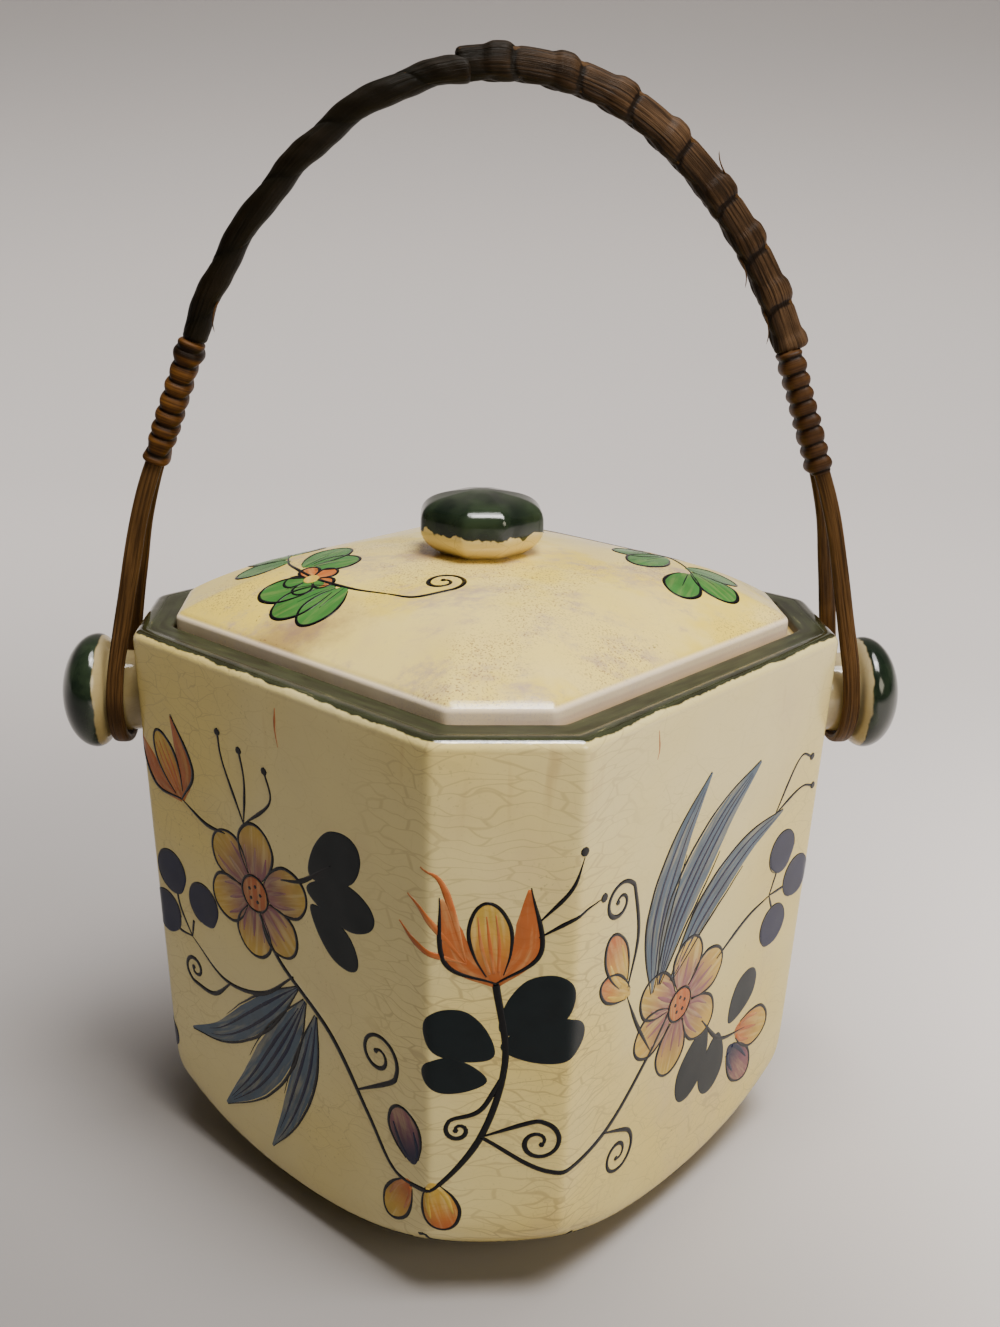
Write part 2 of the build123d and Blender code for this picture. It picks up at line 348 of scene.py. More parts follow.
def join_skins(skins: Sequence[Skin]) -> Skin:
    """Several skins as one, each keeping its own closed surface.

    Args:
        skins: The skins.

    Returns:
        The one skin.
    """
    starts = np.cumsum([0] + [len(skin.points) for skin in skins[:-1]])
    joined = {
        name: np.concatenate([getattr(skin, name) for skin in skins])
        for name in ("points", "quad_sheet", "triangle_sheet", "paint")
    }
    for name in ("quads", "triangles"):
        joined[name] = np.concatenate([getattr(skin, name) + start for skin, start in zip(skins, starts)])
    return Skin(**joined)


def add_object(name: str, data: bpy.types.ID) -> bpy.types.Object:
    """Adds an object of some data to the scene.

    Args:
        name: Its name.
        data: Its mesh, light or camera.

    Returns:
        The object.
    """
    thing = bpy.data.objects.new(name, data)
    bpy.context.scene.collection.objects.link(thing)
    return thing


def make_piece(name: str, skin: Skin, material: bpy.types.Material, body: str,
               nodes: Sequence[str] = (), painted: bool = False) -> None:
    """Makes an object of a skin, and tells the frame what it rides on and stands for.

    Args:
        name: The piece's name.
        skin: Its surface, in millimetres.
        material: Its finish.
        body: The body that it rides on.
        nodes: CAD nodes that it stands for.
        painted: Whether its colour and load are kept as an attribute.
    """
    mesh = bpy.data.meshes.new(name)
    mesh.from_pydata((skin.points * METRES).tolist(), [], skin.quads.tolist() + skin.triangles.tolist())
    sheet = mesh.uv_layers.new(name="sheet")
    corners = np.concatenate([skin.quad_sheet.reshape(-1), skin.triangle_sheet.reshape(-1)])
    sheet.data.foreach_set("uv", corners.astype(np.float32))
    if painted:
        colours = mesh.attributes.new("paint", "FLOAT_COLOR", "POINT")
        colours.data.foreach_set("color", skin.paint.reshape(-1).astype(np.float32))
    mesh.polygons.foreach_set("use_smooth", np.ones(len(mesh.polygons), dtype=bool))
    mesh.materials.append(material)
    mesh.update()
    piece = add_object(name, mesh)
    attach(piece, body)
    if nodes:
        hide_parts(*nodes)
    log.info("%s: %d points, %d faces, rides on %s", name, len(mesh.vertices), len(mesh.polygons), body)


def arc(centre: tuple[float, float], radius: float, start: float, end: float, count: int) -> Array:
    """Points on an arc of a plane, from a start to an end angle in degrees."""
    angles = np.radians(np.linspace(start, end, count))
    return np.stack([centre[0] + radius * np.cos(angles), centre[1] + radius * np.sin(angles)], axis=1)


def run_lengths(points: Array) -> Array:
    """Length along a line of points, from its first point."""
    steps = np.linalg.norm(np.diff(points, axis=0), axis=1)
    return np.concatenate([[0.0], np.cumsum(steps)])


def round_lengths(ring: Array) -> Array:
    """Length round a closed line of points, from its first point and back to it."""
    return run_lengths(np.concatenate([ring, ring[:1]]))


def full_turn(count: int) -> Array:
    """Evenly spaced angles of a full turn."""
    return np.linspace(0, FULL_TURN, count + 1)[:-1]


def superellipse(angle: Array, power: float) -> tuple[Array, Array]:
    """Places on a unit superellipse: cos(a) and sin(a), each to the power 2 over its own, signs kept."""
    first, second = (np.sign(v) * np.abs(v) ** (2 / power) for v in (np.cos(angle), np.sin(angle)))
    return first, second


@dataclass(frozen=True)
class CutCorner:
    """Outline of a square with cut corners, as the distance from its middle at every angle.

    Each side lies at a distance d along its own direction, so the outline's distance at an angle is
    the least of d / cos(angle - direction). The least is taken softly, as a sum of powers, which
    rounds the corners and never passes the straight sides.
    """

    reach: float
    half_facet: float

    @property
    def face(self) -> float:
        """Distance from the middle to a wide side."""
        return (self.reach + self.half_facet) / math.sqrt(2)

    def corner(self, inset: Array) -> Array:
        """Angle of the corner next to a cut facet, for outlines moved in by an inset."""
        half = self.half_facet - inset * (math.sqrt(2) - 1)
        return np.arctan2(np.maximum(half, 0.5), self.reach - inset)

    def distance(self, angle: Array, inset: Array, power: Array, size: Array) -> Array:
        """Distance from the middle to the outline.

        Args:
            angle: Angles round Z, in radians.
            inset: How far all eight sides lie inside this outline.
            power: Sharpness of the corners.
            size: Scale of the outline.

        Returns:
            The distance at every angle.
        """
        total = np.zeros(np.broadcast(angle, inset).shape)
        for side in range(8):
            flat = (self.reach if side % 2 == 0 else self.face) * size - inset
            lean = np.maximum(np.cos(angle - side * HALF_TURN / 4), 0.0) / flat
            total = total + (lean * self.reach) ** power
        return self.reach * total ** (-1 / power)


@dataclass(frozen=True)
class Columns:
    """Columns of a cut-corner surface, which follow the corners and crowd together there."""

    fine_steps: int = 9
    coarse_steps: int = 13
    facet_steps: int = 5

    def shares(self) -> Array:
        """Places of the columns in one quarter turn: 0 to 1 is a facet's middle to its corner, 1 to 2 the
        corner to the wide side's middle, and 2 to 4 the same mirrored.

        Returns:
            The places, in order.
        """
        near = np.linspace(0, 0.06, self.fine_steps)
        facet = 1 - np.concatenate([near * 3, np.linspace(0.18, 1, self.facet_steps + 1)[1:]])
        wide = 1 + np.concatenate([near, np.linspace(0.06, 1, self.coarse_steps + 1)[1:]])
        half = np.concatenate([facet[::-1], wide[1:]])
        return np.concatenate([half, (4 - half[::-1])[1:-1]])

    def angles(self, corner: Array) -> Array:
        """Angles of all columns for rows with a corner angle each.

        Args:
            corner: Corner angle of every row, in radians.

        Returns:
            Angles as rows x columns, from the facet that faces -Y and once round.
        """
        shares = self.shares()
        quarter = HALF_TURN / 2
        none = corner * 0
        stops = np.stack([none, corner, none + quarter / 2, quarter - corner, none + quarter], axis=1)
        low = np.minimum(shares.astype(int), 3)
        part = shares - low
        turn = stops[:, low] * (1 - part) + stops[:, low + 1] * part
        return np.concatenate([turn + k * quarter for k in range(4)], axis=1) - quarter


def round_ring(angles: Array, distance: Array, height: Array, push: float = 0.0) -> Array:
    """Points at an angle and distance round Z and at a height, pushed along X."""
    x, y = distance * np.cos(angles) + push, distance * np.sin(angles)
    return np.stack([x, y, height + 0 * angles], axis=-1)


# ---- finishes


@dataclass(frozen=True)
class CreamGlaze:
    """Cream glaze over earthenware: clouded, finely crazed, speckled and glossy."""

    cream: Colour = (0.80, 0.67, 0.305)
    yellow: Colour = (0.78, 0.61, 0.18)
    blush: Colour = (0.64, 0.47, 0.27)
    crack: Colour = (0.30, 0.20, 0.09)
    speck: Colour = (0.14, 0.08, 0.04)
    crazing: float = 0.50
    specks: float = 0.25

    def craze(self, recipe: Recipe, place: Wire) -> Wire:
        """Net of hairline cracks, flatter than wide, strong in some places and lost in others.

        Args:
            recipe: The material under construction.
            place: Object coordinates.

        Returns:
            The cracks, from 0 to 1.
        """
        flat = recipe.scaled(recipe.warped(place, 120.0, 0.0035), (1.0, 1.0, 2.1))
        wide = recipe.cracks(flat, 120.0).below(0.006, 0.022)
        fine = recipe.cracks(recipe.scaled(flat, (1, 1, 1), (0.31, 0.17, 0.05)), 230.0).below(0.004, 0.018)
        where = recipe.noise(place, 26.0).above(0.42, 0.66)
        sideways, depth, _ = recipe.split(place)
        facet = abs(sideways).below(0.013, 0.034) * abs(depth).above(0.050, 0.062)
        drawn = recipe.scaled(recipe.warped(place, 70.0, 0.009), (0.62, 1.0, 3.1))
        long = recipe.cracks(drawn, 150.0).below(0.014, 0.056) * facet * (0.55 + 0.45 * where)
        return (wide * (0.10 + 0.45 * where)).largest(fine * where * 0.6).largest(long)

    def body_colour(self, recipe: Recipe, place: Wire) -> tuple[Wire, Wire]:
        """Colour of the glaze and the net of cracks in it.

        Args:
            recipe: The material under construction.
            place: Object coordinates.

        Returns:
            The colour, and the cracks from 0 to 1.
        """
        cloud = recipe.noise(place, 14.0, 3.0)
        colour = recipe.mix(cloud.above(0.38, 0.68), self.cream, self.yellow)
        stain = recipe.noise(recipe.scaled(place, (1, 1, 0.6)), 30.0, 4.0, 0.6).above(0.53, 0.8)
        colour = recipe.mix(stain * 0.55, colour, self.blush)
        grains = recipe.noise(place, 1500.0, 1.0).above(0.66, 0.74)
        patches = recipe.noise(place, 34.0).above(0.48, 0.72)
        colour = recipe.mix(grains * (0.05 + self.specks * patches), colour, self.speck)
        cracks = self.craze(recipe, place)
        return recipe.mix(cracks * self.crazing, colour, self.crack), cracks

    def relief(self, recipe: Recipe, place: Wire, cracks: Wire) -> Wire:
        """Normal of a glaze that lies in soft waves and dips at its cracks."""
        waves = recipe.bump(recipe.noise(place, 45.0), 0.0007)
        return recipe.bump(1 - cracks, 0.000008, waves)


@dataclass(frozen=True)
class JarFinish:
    """Finish of the jar: cream, with a streaky green band brushed along the rim."""

    glaze: CreamGlaze = CreamGlaze()
    band_dark: Colour = (0.006, 0.009, 0.004)
    band_pale: Colour = (0.027, 0.036, 0.015)
    # Brown of the painted shadow line along the band's inner edge, next to the lid.
    lid_shadow_brown: Colour = (0.012, 0.008, 0.004)
    stain: Colour = (0.42, 0.22, 0.09)
    seat_clay: Colour = (0.30, 0.21, 0.14)
    band_outer: float = -1.7
    band_inner: float = 6.7

    def band(self, recipe: Recipe, around: Wire, across: Wire) -> tuple[Wire, Wire]:
        """Colour and cover of the rim's band.

        Args:
            recipe: The material under construction.
            around: Length round the rim, in millimetres.
            across: Length inwards from the outer edge of the flat rim, in millimetres.

        Returns:
            The band's colour, and how fully it hides the cream.
        """
        wobble = recipe.noise(recipe.joined(around * 0.05, 0.0), 1.6, 3.0) - 0.5
        ragged = recipe.noise(recipe.joined(around * 0.55, across * 0.25), 1.0, 3.0) - 0.5
        streaks = recipe.noise(recipe.joined(around * 0.085, across * 0.75), 1.0, 5.0, 0.68)
        grains = recipe.noise(recipe.joined(around * 3.0, across * 3.0), 1.0).above(0.58, 0.72)
        outer = (across + wobble * 2.2 + ragged * 1.0).above(self.band_outer, self.band_outer + 0.35)
        inner = (across + wobble * 0.8).below(self.band_inner, self.band_inner + 0.4)
        colour = recipe.mix(streaks.above(0.36, 0.62), self.band_dark, self.band_pale)
        colour = recipe.mix(grains * 0.35, colour, self.band_dark)
        # Painted shadow: brown streaks along the band's inner edge, where the lid sits.
        lid_shadow_line = (across + ragged * 1.6 + wobble * 2).above(4.6, 5.6) * streaks.above(0.3, 0.5)
        colour = recipe.mix(lid_shadow_line * 0.8, colour, self.lid_shadow_brown)
        thin = streaks.above(0.64, 0.76) * 0.35
        return colour, outer * inner * (0.98 - thin)

    def material(self) -> bpy.types.Material:
        """The jar's material.

        Returns:
            The material.
        """
        recipe = Recipe("cream_glaze_with_rim_band")
        place = recipe.place()
        colour, cracks = self.glaze.body_colour(recipe, place)
        around, across, _ = recipe.split(recipe.sheet())
        runs = recipe.noise(recipe.joined(around * 0.22, across * 0.035), 1.0, 3.0).above(0.60, 0.74)
        below_rim = across.above(-24.0, -2.0) * across.below(-1.0, 0.5)
        colour = recipe.mix(runs * below_rim * 0.35, colour, self.stain)
        seat = across.above(self.band_inner + 0.8, self.band_inner + 1.6)
        seat = seat * (0.3 + 0.7 * across.below(19.0, 24.0))
        colour = recipe.mix(seat * 0.8, colour, self.seat_clay)
        green, cover = self.band(recipe, around, across)
        colour = recipe.mix(cover, colour, green)
        flat = across.above(0.4, 1.6)
        roughness = 0.11 + 0.08 * recipe.noise(place, 70.0) + flat * 0.22 + seat * 0.15
        shoulder = across.above(-3.6, -2.4) * across.below(0.2, 1.0)
        ripple = recipe.noise(place, 260.0, 3.0, 0.6) * shoulder
        normal = recipe.bump(ripple, 0.00022, self.glaze.relief(recipe, place, cracks))
        return recipe.finish(colour, roughness, normal, IOR=1.5, Specular_IOR_Level=0.36,
                             Coat_Weight=shoulder, Coat_Roughness=0.04)


@dataclass(frozen=True)
class LidFinish:
    """Finish of the lid: warm cream, a stain near its border, a pinker straight edge, and painted shade by
    the knob and low on its right edge.
    """

    glaze: CreamGlaze = CreamGlaze((0.88, 0.70, 0.25), (0.86, 0.64, 0.09), (0.62, 0.43, 0.27),
                                   crazing=0.12, specks=0.85)
    edge: Colour = (0.95, 0.80, 0.66)
    # Taupe of the painted shade line low on the lid's edge.
    stripe: Colour = (0.66, 0.48, 0.38)
    stain: Colour = (0.30, 0.17, 0.08)
    edge_height: float = 0.1168
    haze: Colour = (0.52, 0.375, 0.26)
    # Two dark spots: a stain near the left front, and the knob's painted shadow just left of its foot.
    stain_and_knob_shadow: tuple[tuple[float, ...], ...] = ((-0.038, -0.029, 62.0, 120.0), (-0.0125, -0.004, 150.0, 190.0))

    def material(self) -> bpy.types.Material:
        """The lid's material.

        Returns:
            The material.
        """
        recipe = Recipe("cream_glaze_of_lid")
        place = recipe.place()
        colour, cracks = self.glaze.body_colour(recipe, place)
        sideways, _, height = recipe.split(place)
        cloudy = recipe.noise(place, 210.0, 4.0, 0.65)
        clouds = recipe.noise(recipe.scaled(place, (1.0, 1.3, 1.0), (0.4, 0.1, 0.0)), 32.0, 4.0, 0.62)
        colour = recipe.mix(clouds.above(0.50, 0.64) * 0.9, colour, self.glaze.yellow)
        smears = recipe.noise(recipe.scaled(place, (1.0, 1.4, 1.0)), 48.0, 6.0, 0.74).above(0.49, 0.66)
        colour = recipe.mix(smears * 0.9, colour, self.haze)
        dust = recipe.noise(place, 2600.0, 1.0).above(0.56, 0.66)
        dust = dust * recipe.noise(place, 38.0, 3.0).above(0.44, 0.60)
        colour = recipe.mix(dust * 0.75, colour, self.stain)
        # Dark spots: a stain, and a painted shadow beside the knob.
        for x, y, tight, high in self.stain_and_knob_shadow:
            from_stain = recipe.scaled(place, (tight, high, 0.0), (-x * tight, -y * high, 0.0))
            far = recipe.node("ShaderNodeVectorMath", {"operation": "LENGTH"}, {0: from_stain}, "Value")
            colour = recipe.mix((far + cloudy * 1.2).below(0.7, 1.8) * 0.7, colour, self.stain)
        low = height.below(self.edge_height, self.edge_height + 0.0008)
        colour = recipe.mix(low * 0.75, colour, self.edge)
        # Painted shade: a taupe line low on the right half of the edge, in the gap between the lid and the
        # rim.
        line = height.above(0.1134, 0.1138) * height.below(0.1148, 0.1156)
        gap_shade = line * (0.25 + 0.5 * recipe.noise(place, 120.0)) * sideways.above(-0.02, 0.02)
        colour = recipe.mix(gap_shade, colour, self.stripe)
        roughness = 0.12 + 0.09 * recipe.noise(place, 70.0)
        return recipe.finish(colour, roughness, self.glaze.relief(recipe, place, cracks), IOR=1.5)


@dataclass(frozen=True)
class EnamelFinish:
    """Finish of brushed enamel: streaked along each stroke, the glaze showing where it is thin."""

    glaze: CreamGlaze = CreamGlaze()

    def material(self) -> bpy.types.Material:
        """The material, with colour and load from the piece's own attribute.

        Returns:
            The material.
        """
        recipe = Recipe("brushed_enamel")
        place = recipe.place()
        cream, cracks = self.glaze.body_colour(recipe, place)
        along, across, _ = recipe.split(recipe.sheet())
        paint = recipe.node("ShaderNodeAttribute", {"attribute_name": "paint"}, {}, "Color")
        load = Wire(recipe, paint.socket.node.outputs["Alpha"])
        streaks = recipe.noise(recipe.joined(along * 0.10, across * 0.85, load * 7), 1.0, 3.0, 0.5)
        thin = streaks.above(0.42, 0.72) * (1 - load) * 3.2
        pools = recipe.noise(place, 190.0).above(0.40, 0.70)
        colour = recipe.mix(pools * 0.35, paint, recipe.mix(0.6, paint, (0.0, 0.0, 0.0)))
        colour = recipe.mix(load * (1 - thin), cream, colour)
        roughness = 0.13 + 0.10 * streaks
        normal = self.glaze.relief(recipe, place, cracks * 0.5)
        return recipe.finish(colour, roughness, normal, IOR=1.5, Specular_IOR_Level=0.22)


@dataclass(frozen=True)
class DippedFinish:
    """Finish of a part dipped in green glaze, lighter where it runs thin, and cream where it stops."""

    name: str
    axis: int
    line: float
    ragged: float
    glaze: CreamGlaze = CreamGlaze(cream=(0.74, 0.62, 0.36))
    deep: Colour = (0.008, 0.014, 0.008)
    bright: Colour = (0.026, 0.040, 0.020)

    def material(self) -> bpy.types.Material:
        """The material: green beyond the line along an axis, with a ragged edge.

        Returns:
            The material.
        """
        recipe = Recipe(self.name)
        place = recipe.place()
        colour, cracks = self.glaze.body_colour(recipe, place)
        along = recipe.split(place)[self.axis]
        edge = recipe.noise(place, 210.0, 3.0, 0.55) - 0.5
        dipped = (abs(along) + edge * self.ragged).above(self.line, self.line + 0.0004)
        green = recipe.mix(recipe.noise(place, 130.0, 3.0).above(0.4, 0.7), self.deep, self.bright)
        colour = recipe.mix(dipped, colour, green)
        roughness = 0.10 + 0.07 * recipe.noise(place, 120.0)
        return recipe.finish(colour, roughness, self.glaze.relief(recipe, place, cracks * 0.4), IOR=1.55)


@dataclass(frozen=True)
class CaneFinish:
    """Finish of aged cane: long grain and splits; if chosen, painted shade in its creases and painted
    highlights on its ridges; darker to the left and top.
    """

    name: str
    light: Colour
    middle: Colour
    dark: Colour
    darkening: float = 0.0
    grain: float = 1.0
    # Whether the crest paints shade into the creases and highlights onto the ridges.
    crest_shade_and_highlight: bool = False

    def material(self) -> bpy.types.Material:
        """The material, with its grain along the strip.

        Returns:
            The material.
        """
        recipe = Recipe(self.name)
        place = recipe.place()
        along, across, _ = recipe.split(recipe.sheet())
        fibres = recipe.noise(recipe.joined(along * 0.06, across * 2.4), 1.0, 5.0, 0.62)
        blotch = recipe.noise(place, 110.0, 3.0).above(0.3, 0.72)
        sideways, _, height = recipe.split(place)
        tone = recipe.mix(fibres.above(0.36, 0.62), self.dark, self.middle)
        tone = recipe.mix(blotch * fibres.above(0.35, 0.7), tone, self.light)
        if self.crest_shade_and_highlight:
            # Painted shade in the creases and a painted highlight on the ridges, read from the crest.
            crest = recipe.node("ShaderNodeAttribute", {"attribute_name": "paint"}, {}, "Alpha")
            tone = recipe.mix(crest.below(0.15, 0.62) * 0.92, tone, (0.008, 0.004, 0.002))
            tone = recipe.mix(crest.above(0.72, 1.0) * blotch * 0.6, tone, self.light)
        # Darker towards the left and the top, by the darkening share.
        left_top_darkening = (sideways * -26.0 + height * 9.0 - 1.55).above(-0.35, 0.75) * self.darkening
        tone = recipe.mix(left_top_darkening * 0.94, tone, (0.004, 0.003, 0.0006))
        roughness = 0.30 + 0.28 * fibres
        relief = recipe.bump(fibres, 0.00035 * self.grain)
        return recipe.finish(tone, roughness, relief, IOR=1.45, Specular_IOR_Level=0.13)


# ---- jar, lid, knob and lugs


@dataclass(frozen=True)
class JarBody:
    """The jar: drafted cut-corner walls, turned base with a foot ring, and a gallery for the lid."""

    rim_height: float = 115.0
    rim_reach: float = 70.0
    rim_half_facet: float = 12.9
    base_reach: float = 65.5
    foot_height: float = 2.0
    base_round: float = 39.0
    turned_radius: float = 76.5
    shoulder_round: float = 2.2
    rim_flat: float = 7.0
    lip_round: float = 0.7
    wall: float = 5.0
    floor_height: float = 7.5
    sharpness: float = 190.0
    turn_sharpness: float = 46.0
    columns: Columns = Columns()
    finish: JarFinish = JarFinish()

    def outline(self, angle: Array, height: Array, inset: Array) -> Array:
        """Distance from the axis to the drafted walls.

        The reach and the half facet change evenly with the height, so the outline is that of the rim
        with its sides moved in and scaled, and the turned base caps it through a soft least value.

        Args:
            angle: Angles, as rows x columns.
            height: Height of each row, as rows x 1.
            inset: Inset of each row, as rows x 1.

        Returns:
            The distance, as rows x columns.
        """
        share = (height - self.foot_height) / (self.rim_height - self.foot_height)
        size = (self.base_reach + share * (self.rim_reach - self.base_reach)) / self.rim_reach
        rim = CutCorner(self.rim_reach, self.rim_half_facet)
        walls = rim.distance(angle, inset, self.sharpness, size)
        top = self.foot_height + self.base_round
        radius = self.base_round - inset * 1.1
        drop = np.clip(top - height, 0, radius * 0.99999)
        turned = self.turned_radius - self.base_round + np.sqrt(radius ** 2 - drop ** 2)
        power = self.turn_sharpness
        return (walls ** -power + turned ** -power) ** (-1 / power)

    def wall_point(self, around: Array, height: Array) -> Array:
        """Points of the walls at a length round them and a height.

        The angle is read from the running length of the outline at half height, counted from the
        middle of the facet that faces -Y, and the distance from the axis is that of the walls there.

        Args:
            around: Lengths round the walls.
            height: Heights.

        Returns:
            The points.
        """
        known = np.linspace(-HALF_TURN / 2, 1.5 * HALF_TURN, 2881)
        level = np.full_like(known, 60.0)
        belt = round_ring(known, self.outline(known, level, 0.0 * known), level)
        length = run_lengths(belt)
        angle = np.interp(np.mod(around, length[-1]), length, known)
        return round_ring(angle, self.outline(angle, height, 0.0 * angle), height)

    def rows(self) -> tuple[Array, Array, Array, Array]:
        """Profile of the jar from the middle of its underside, round the rim, to the middle of its floor.

        Returns:
            Height and inset of every row, the radius that a turned row has (0 for a row of the walls),
            and the length along the profile, counted from the outer edge of the flat rim.
        """
        top = self.foot_height + self.base_round
        turned = [(radius, 2.0) for radius in (1.0, 12.0, 24.0, 34.0, 37.5)] + [(39.3, 2.05), (39.9, 1.9)]
        turned += [tuple(p) for p in arc((40.8, 0.8), 0.8, 180, 270, 5)]
        turned += [tuple(p) for p in arc((44.2, 0.8), 0.8, 270, 360, 5)] + [(45.0, 1.6), (45.1, 2.5)]
        walls = [(top - self.base_round * math.cos(a), 0.0) for a in np.radians(np.linspace(13.5, 88, 40))]
        walls += [(z, 0.0) for z in np.linspace(top + 1, self.rim_height - self.shoulder_round, 34)]
        for step in np.radians(np.linspace(9, 90, 10)):
            fall, inwards = (self.shoulder_round * (1 - turn(step)) for turn in (math.sin, math.cos))
            walls.append((self.rim_height - fall, inwards))
        rim_edge = len(turned) + len(walls) - 1
        walls += [(self.rim_height, inset) for inset in (2.9, 3.8, 4.7, 5.6, 6.4, self.rim_flat)]
        for step in np.radians(np.linspace(22.5, 90, 4)):
            fall, inwards = self.lip_round * (1 - math.cos(step)), self.lip_round * math.sin(step)
            walls.append((self.rim_height - fall, self.rim_flat + inwards))
        walls += [(113.6, 7.7), (112.9, 7.75), (112.55, 8.1), (112.5, 9.0), (112.5, 10.6), (112.4, 11.7),
                  (112.1, 12.0), (110.8, 12.0), (109.6, 11.9), (109.0, 11.4), (106.0, 8.1), (103.4, 5.3)]
        walls += [(z, self.wall) for z in (102.4, 100.0, 90.0, 78.0, 66.0, 54.0, 45.0)]
        deep = top - self.floor_height
        walls += [(top - deep * math.sin(a), self.wall) for a in np.radians(np.linspace(4, 88, 26))]
        rows = [(z, 0.0, radius) for radius, z in turned] + [(z, inset, 0.0) for z, inset in walls]
        rows += [(self.floor_height, self.wall, radius) for radius in (36.0, 24.0, 12.0, 1.0)]
        height, inset, radius = np.array(rows).T
        along = run_lengths(np.stack([height, inset], axis=1))
        return height, inset, radius, along - along[rim_edge]

    def skin(self) -> Skin:
        """The jar's closed surface.

        Returns:
            The skin.
        """
        height, inset, radius, along = self.rows()
        rim = CutCorner(self.rim_reach, self.rim_half_facet)
        angles = self.columns.angles(rim.corner(inset))
        walls = self.outline(angles, height[:, None], inset[:, None])
        distance = np.where(radius[:, None] > 0, radius[:, None], walls)
        rings = round_ring(angles, distance, height[:, None])
        return skin_rings(rings, round_lengths(rings[np.argmin(np.abs(along))]), along)

    def build(self) -> None:
        """Makes the jar in place of its CAD node."""
        material = self.finish.material()
        make_piece("jar_walls", self.skin(), material, "jar", ["jar_body"])


@dataclass(frozen=True)
class Lid:
    """The lid: a straight edge, a low dome whose corners soften towards the crown, and a flange below."""

    reach: float = 61.1
    half_facet: float = 9.255
    push: float = -0.8
    seat_height: float = 112.5
    edge: float = 4.6
    edge_round: float = 0.9
    rise: float = 11.5
    fullness: float = 3.0
    flange_inset: float = 4.6
    flange_depth: float = 6.0
    wall: float = 4.0
    crown_share: float = 0.12
    columns: Columns = Columns()
    finish: LidFinish = LidFinish()

    def dome(self, share: Array) -> Array:
        """Height of the dome at a share of the reach: its fall grows with the cube of the share."""
        return self.seat_height + self.edge + self.rise * (1 - share ** self.fullness)

    def sharpness(self, share: Array) -> Array:
        """Power that rounds the corners at a share of the reach, softer towards the crown."""
        return 3.0 + 170.0 * np.clip(share, 0, 1) ** 3

    def crown_point(self, x: Array, y: Array) -> Array:
        """Points of the lid's top over points of the plane.

        The share of the reach at (x, y) is its distance from the middle over the outline's distance
        at its angle, and the height is the dome's height at that share.

        Args:
            x: Places along X.
            y: Places along Y.

        Returns:
            The points.
        """
        angle = np.arctan2(y, x - self.push)
        distance = np.hypot(x - self.push, y)
        outline, none = CutCorner(self.reach, self.half_facet), np.zeros_like(angle)
        share = distance / outline.distance(angle, none, 60.0, 1.0)
        for _ in range(3):
            share = distance / outline.distance(angle, none, self.sharpness(share), 1.0)
        return np.stack([x, y, self.dome(share)], axis=-1)

    def skin(self) -> Skin:
        """The lid's closed surface, from the middle of its hollow, round its edge, to its crown.

        Returns:
            The skin.
        """
        bottom, top = self.seat_height, self.seat_height + self.edge
        low, outer, inner = bottom - self.flange_depth, self.flange_inset, self.flange_inset + self.wall
        hollow = (self.reach - inner) / self.reach
        ceiling = float(self.dome(np.array(self.crown_share))) - self.wall
        rows: list[tuple[float, float, float]] = []
        for share in np.linspace(0.02, 1, 9) * hollow:
            rows.append((share, 0.0, min(float(self.dome(share)) - self.wall, ceiling)))
        flange_top = float(self.dome(np.array(hollow))) - self.wall - 2
        flange = [(inner, flange_top), (inner, low + 0.8), (inner - 0.24, low + 0.24), (inner - 0.8, low),
                  (outer + 0.8, low), (outer + 0.24, low + 0.24), (outer, low + 0.8), (outer, bottom - 0.3),
                  (outer - 0.3, bottom), (0.5, bottom), (0.15, bottom + 0.15), (0.0, bottom + 0.5),
                  (0.0, bottom + 2.0), (0.0, top - 0.9)]
        rows += [(1.0, inset, height) for inset, height in flange]
        edge_row = len(rows) - 1
        for step in np.radians(np.linspace(12, 66, 6)):
            rows.append((1, self.edge_round * (1 - math.cos(step)), top - 0.85 + 1.05 * math.sin(step)))
        for share in np.concatenate([np.linspace(0.985, 0.8, 14), np.linspace(0.78, 0.1, 26), [0.05, 0.015]]):
            rows.append((share, 0.0, float(self.dome(max(share, 0.14)))))
        share, inset, height = (np.array(column) for column in zip(*rows))
        outline = CutCorner(self.reach, self.half_facet)
        angles = self.columns.angles(outline.corner(inset))
        power = self.sharpness(share)[:, None]
        distance = outline.distance(angles, inset[:, None], power, share[:, None])
        rings = round_ring(angles, distance, height[:, None], self.push)
        along = run_lengths(np.stack([distance.mean(axis=1), height], axis=1))
        return skin_rings(rings, round_lengths(rings[edge_row]), along)

    def build(self) -> None:
        """Makes the lid in place of its CAD node."""
        make_piece("lid_dome", self.skin(), self.finish.material(), "lid", ["lid"])


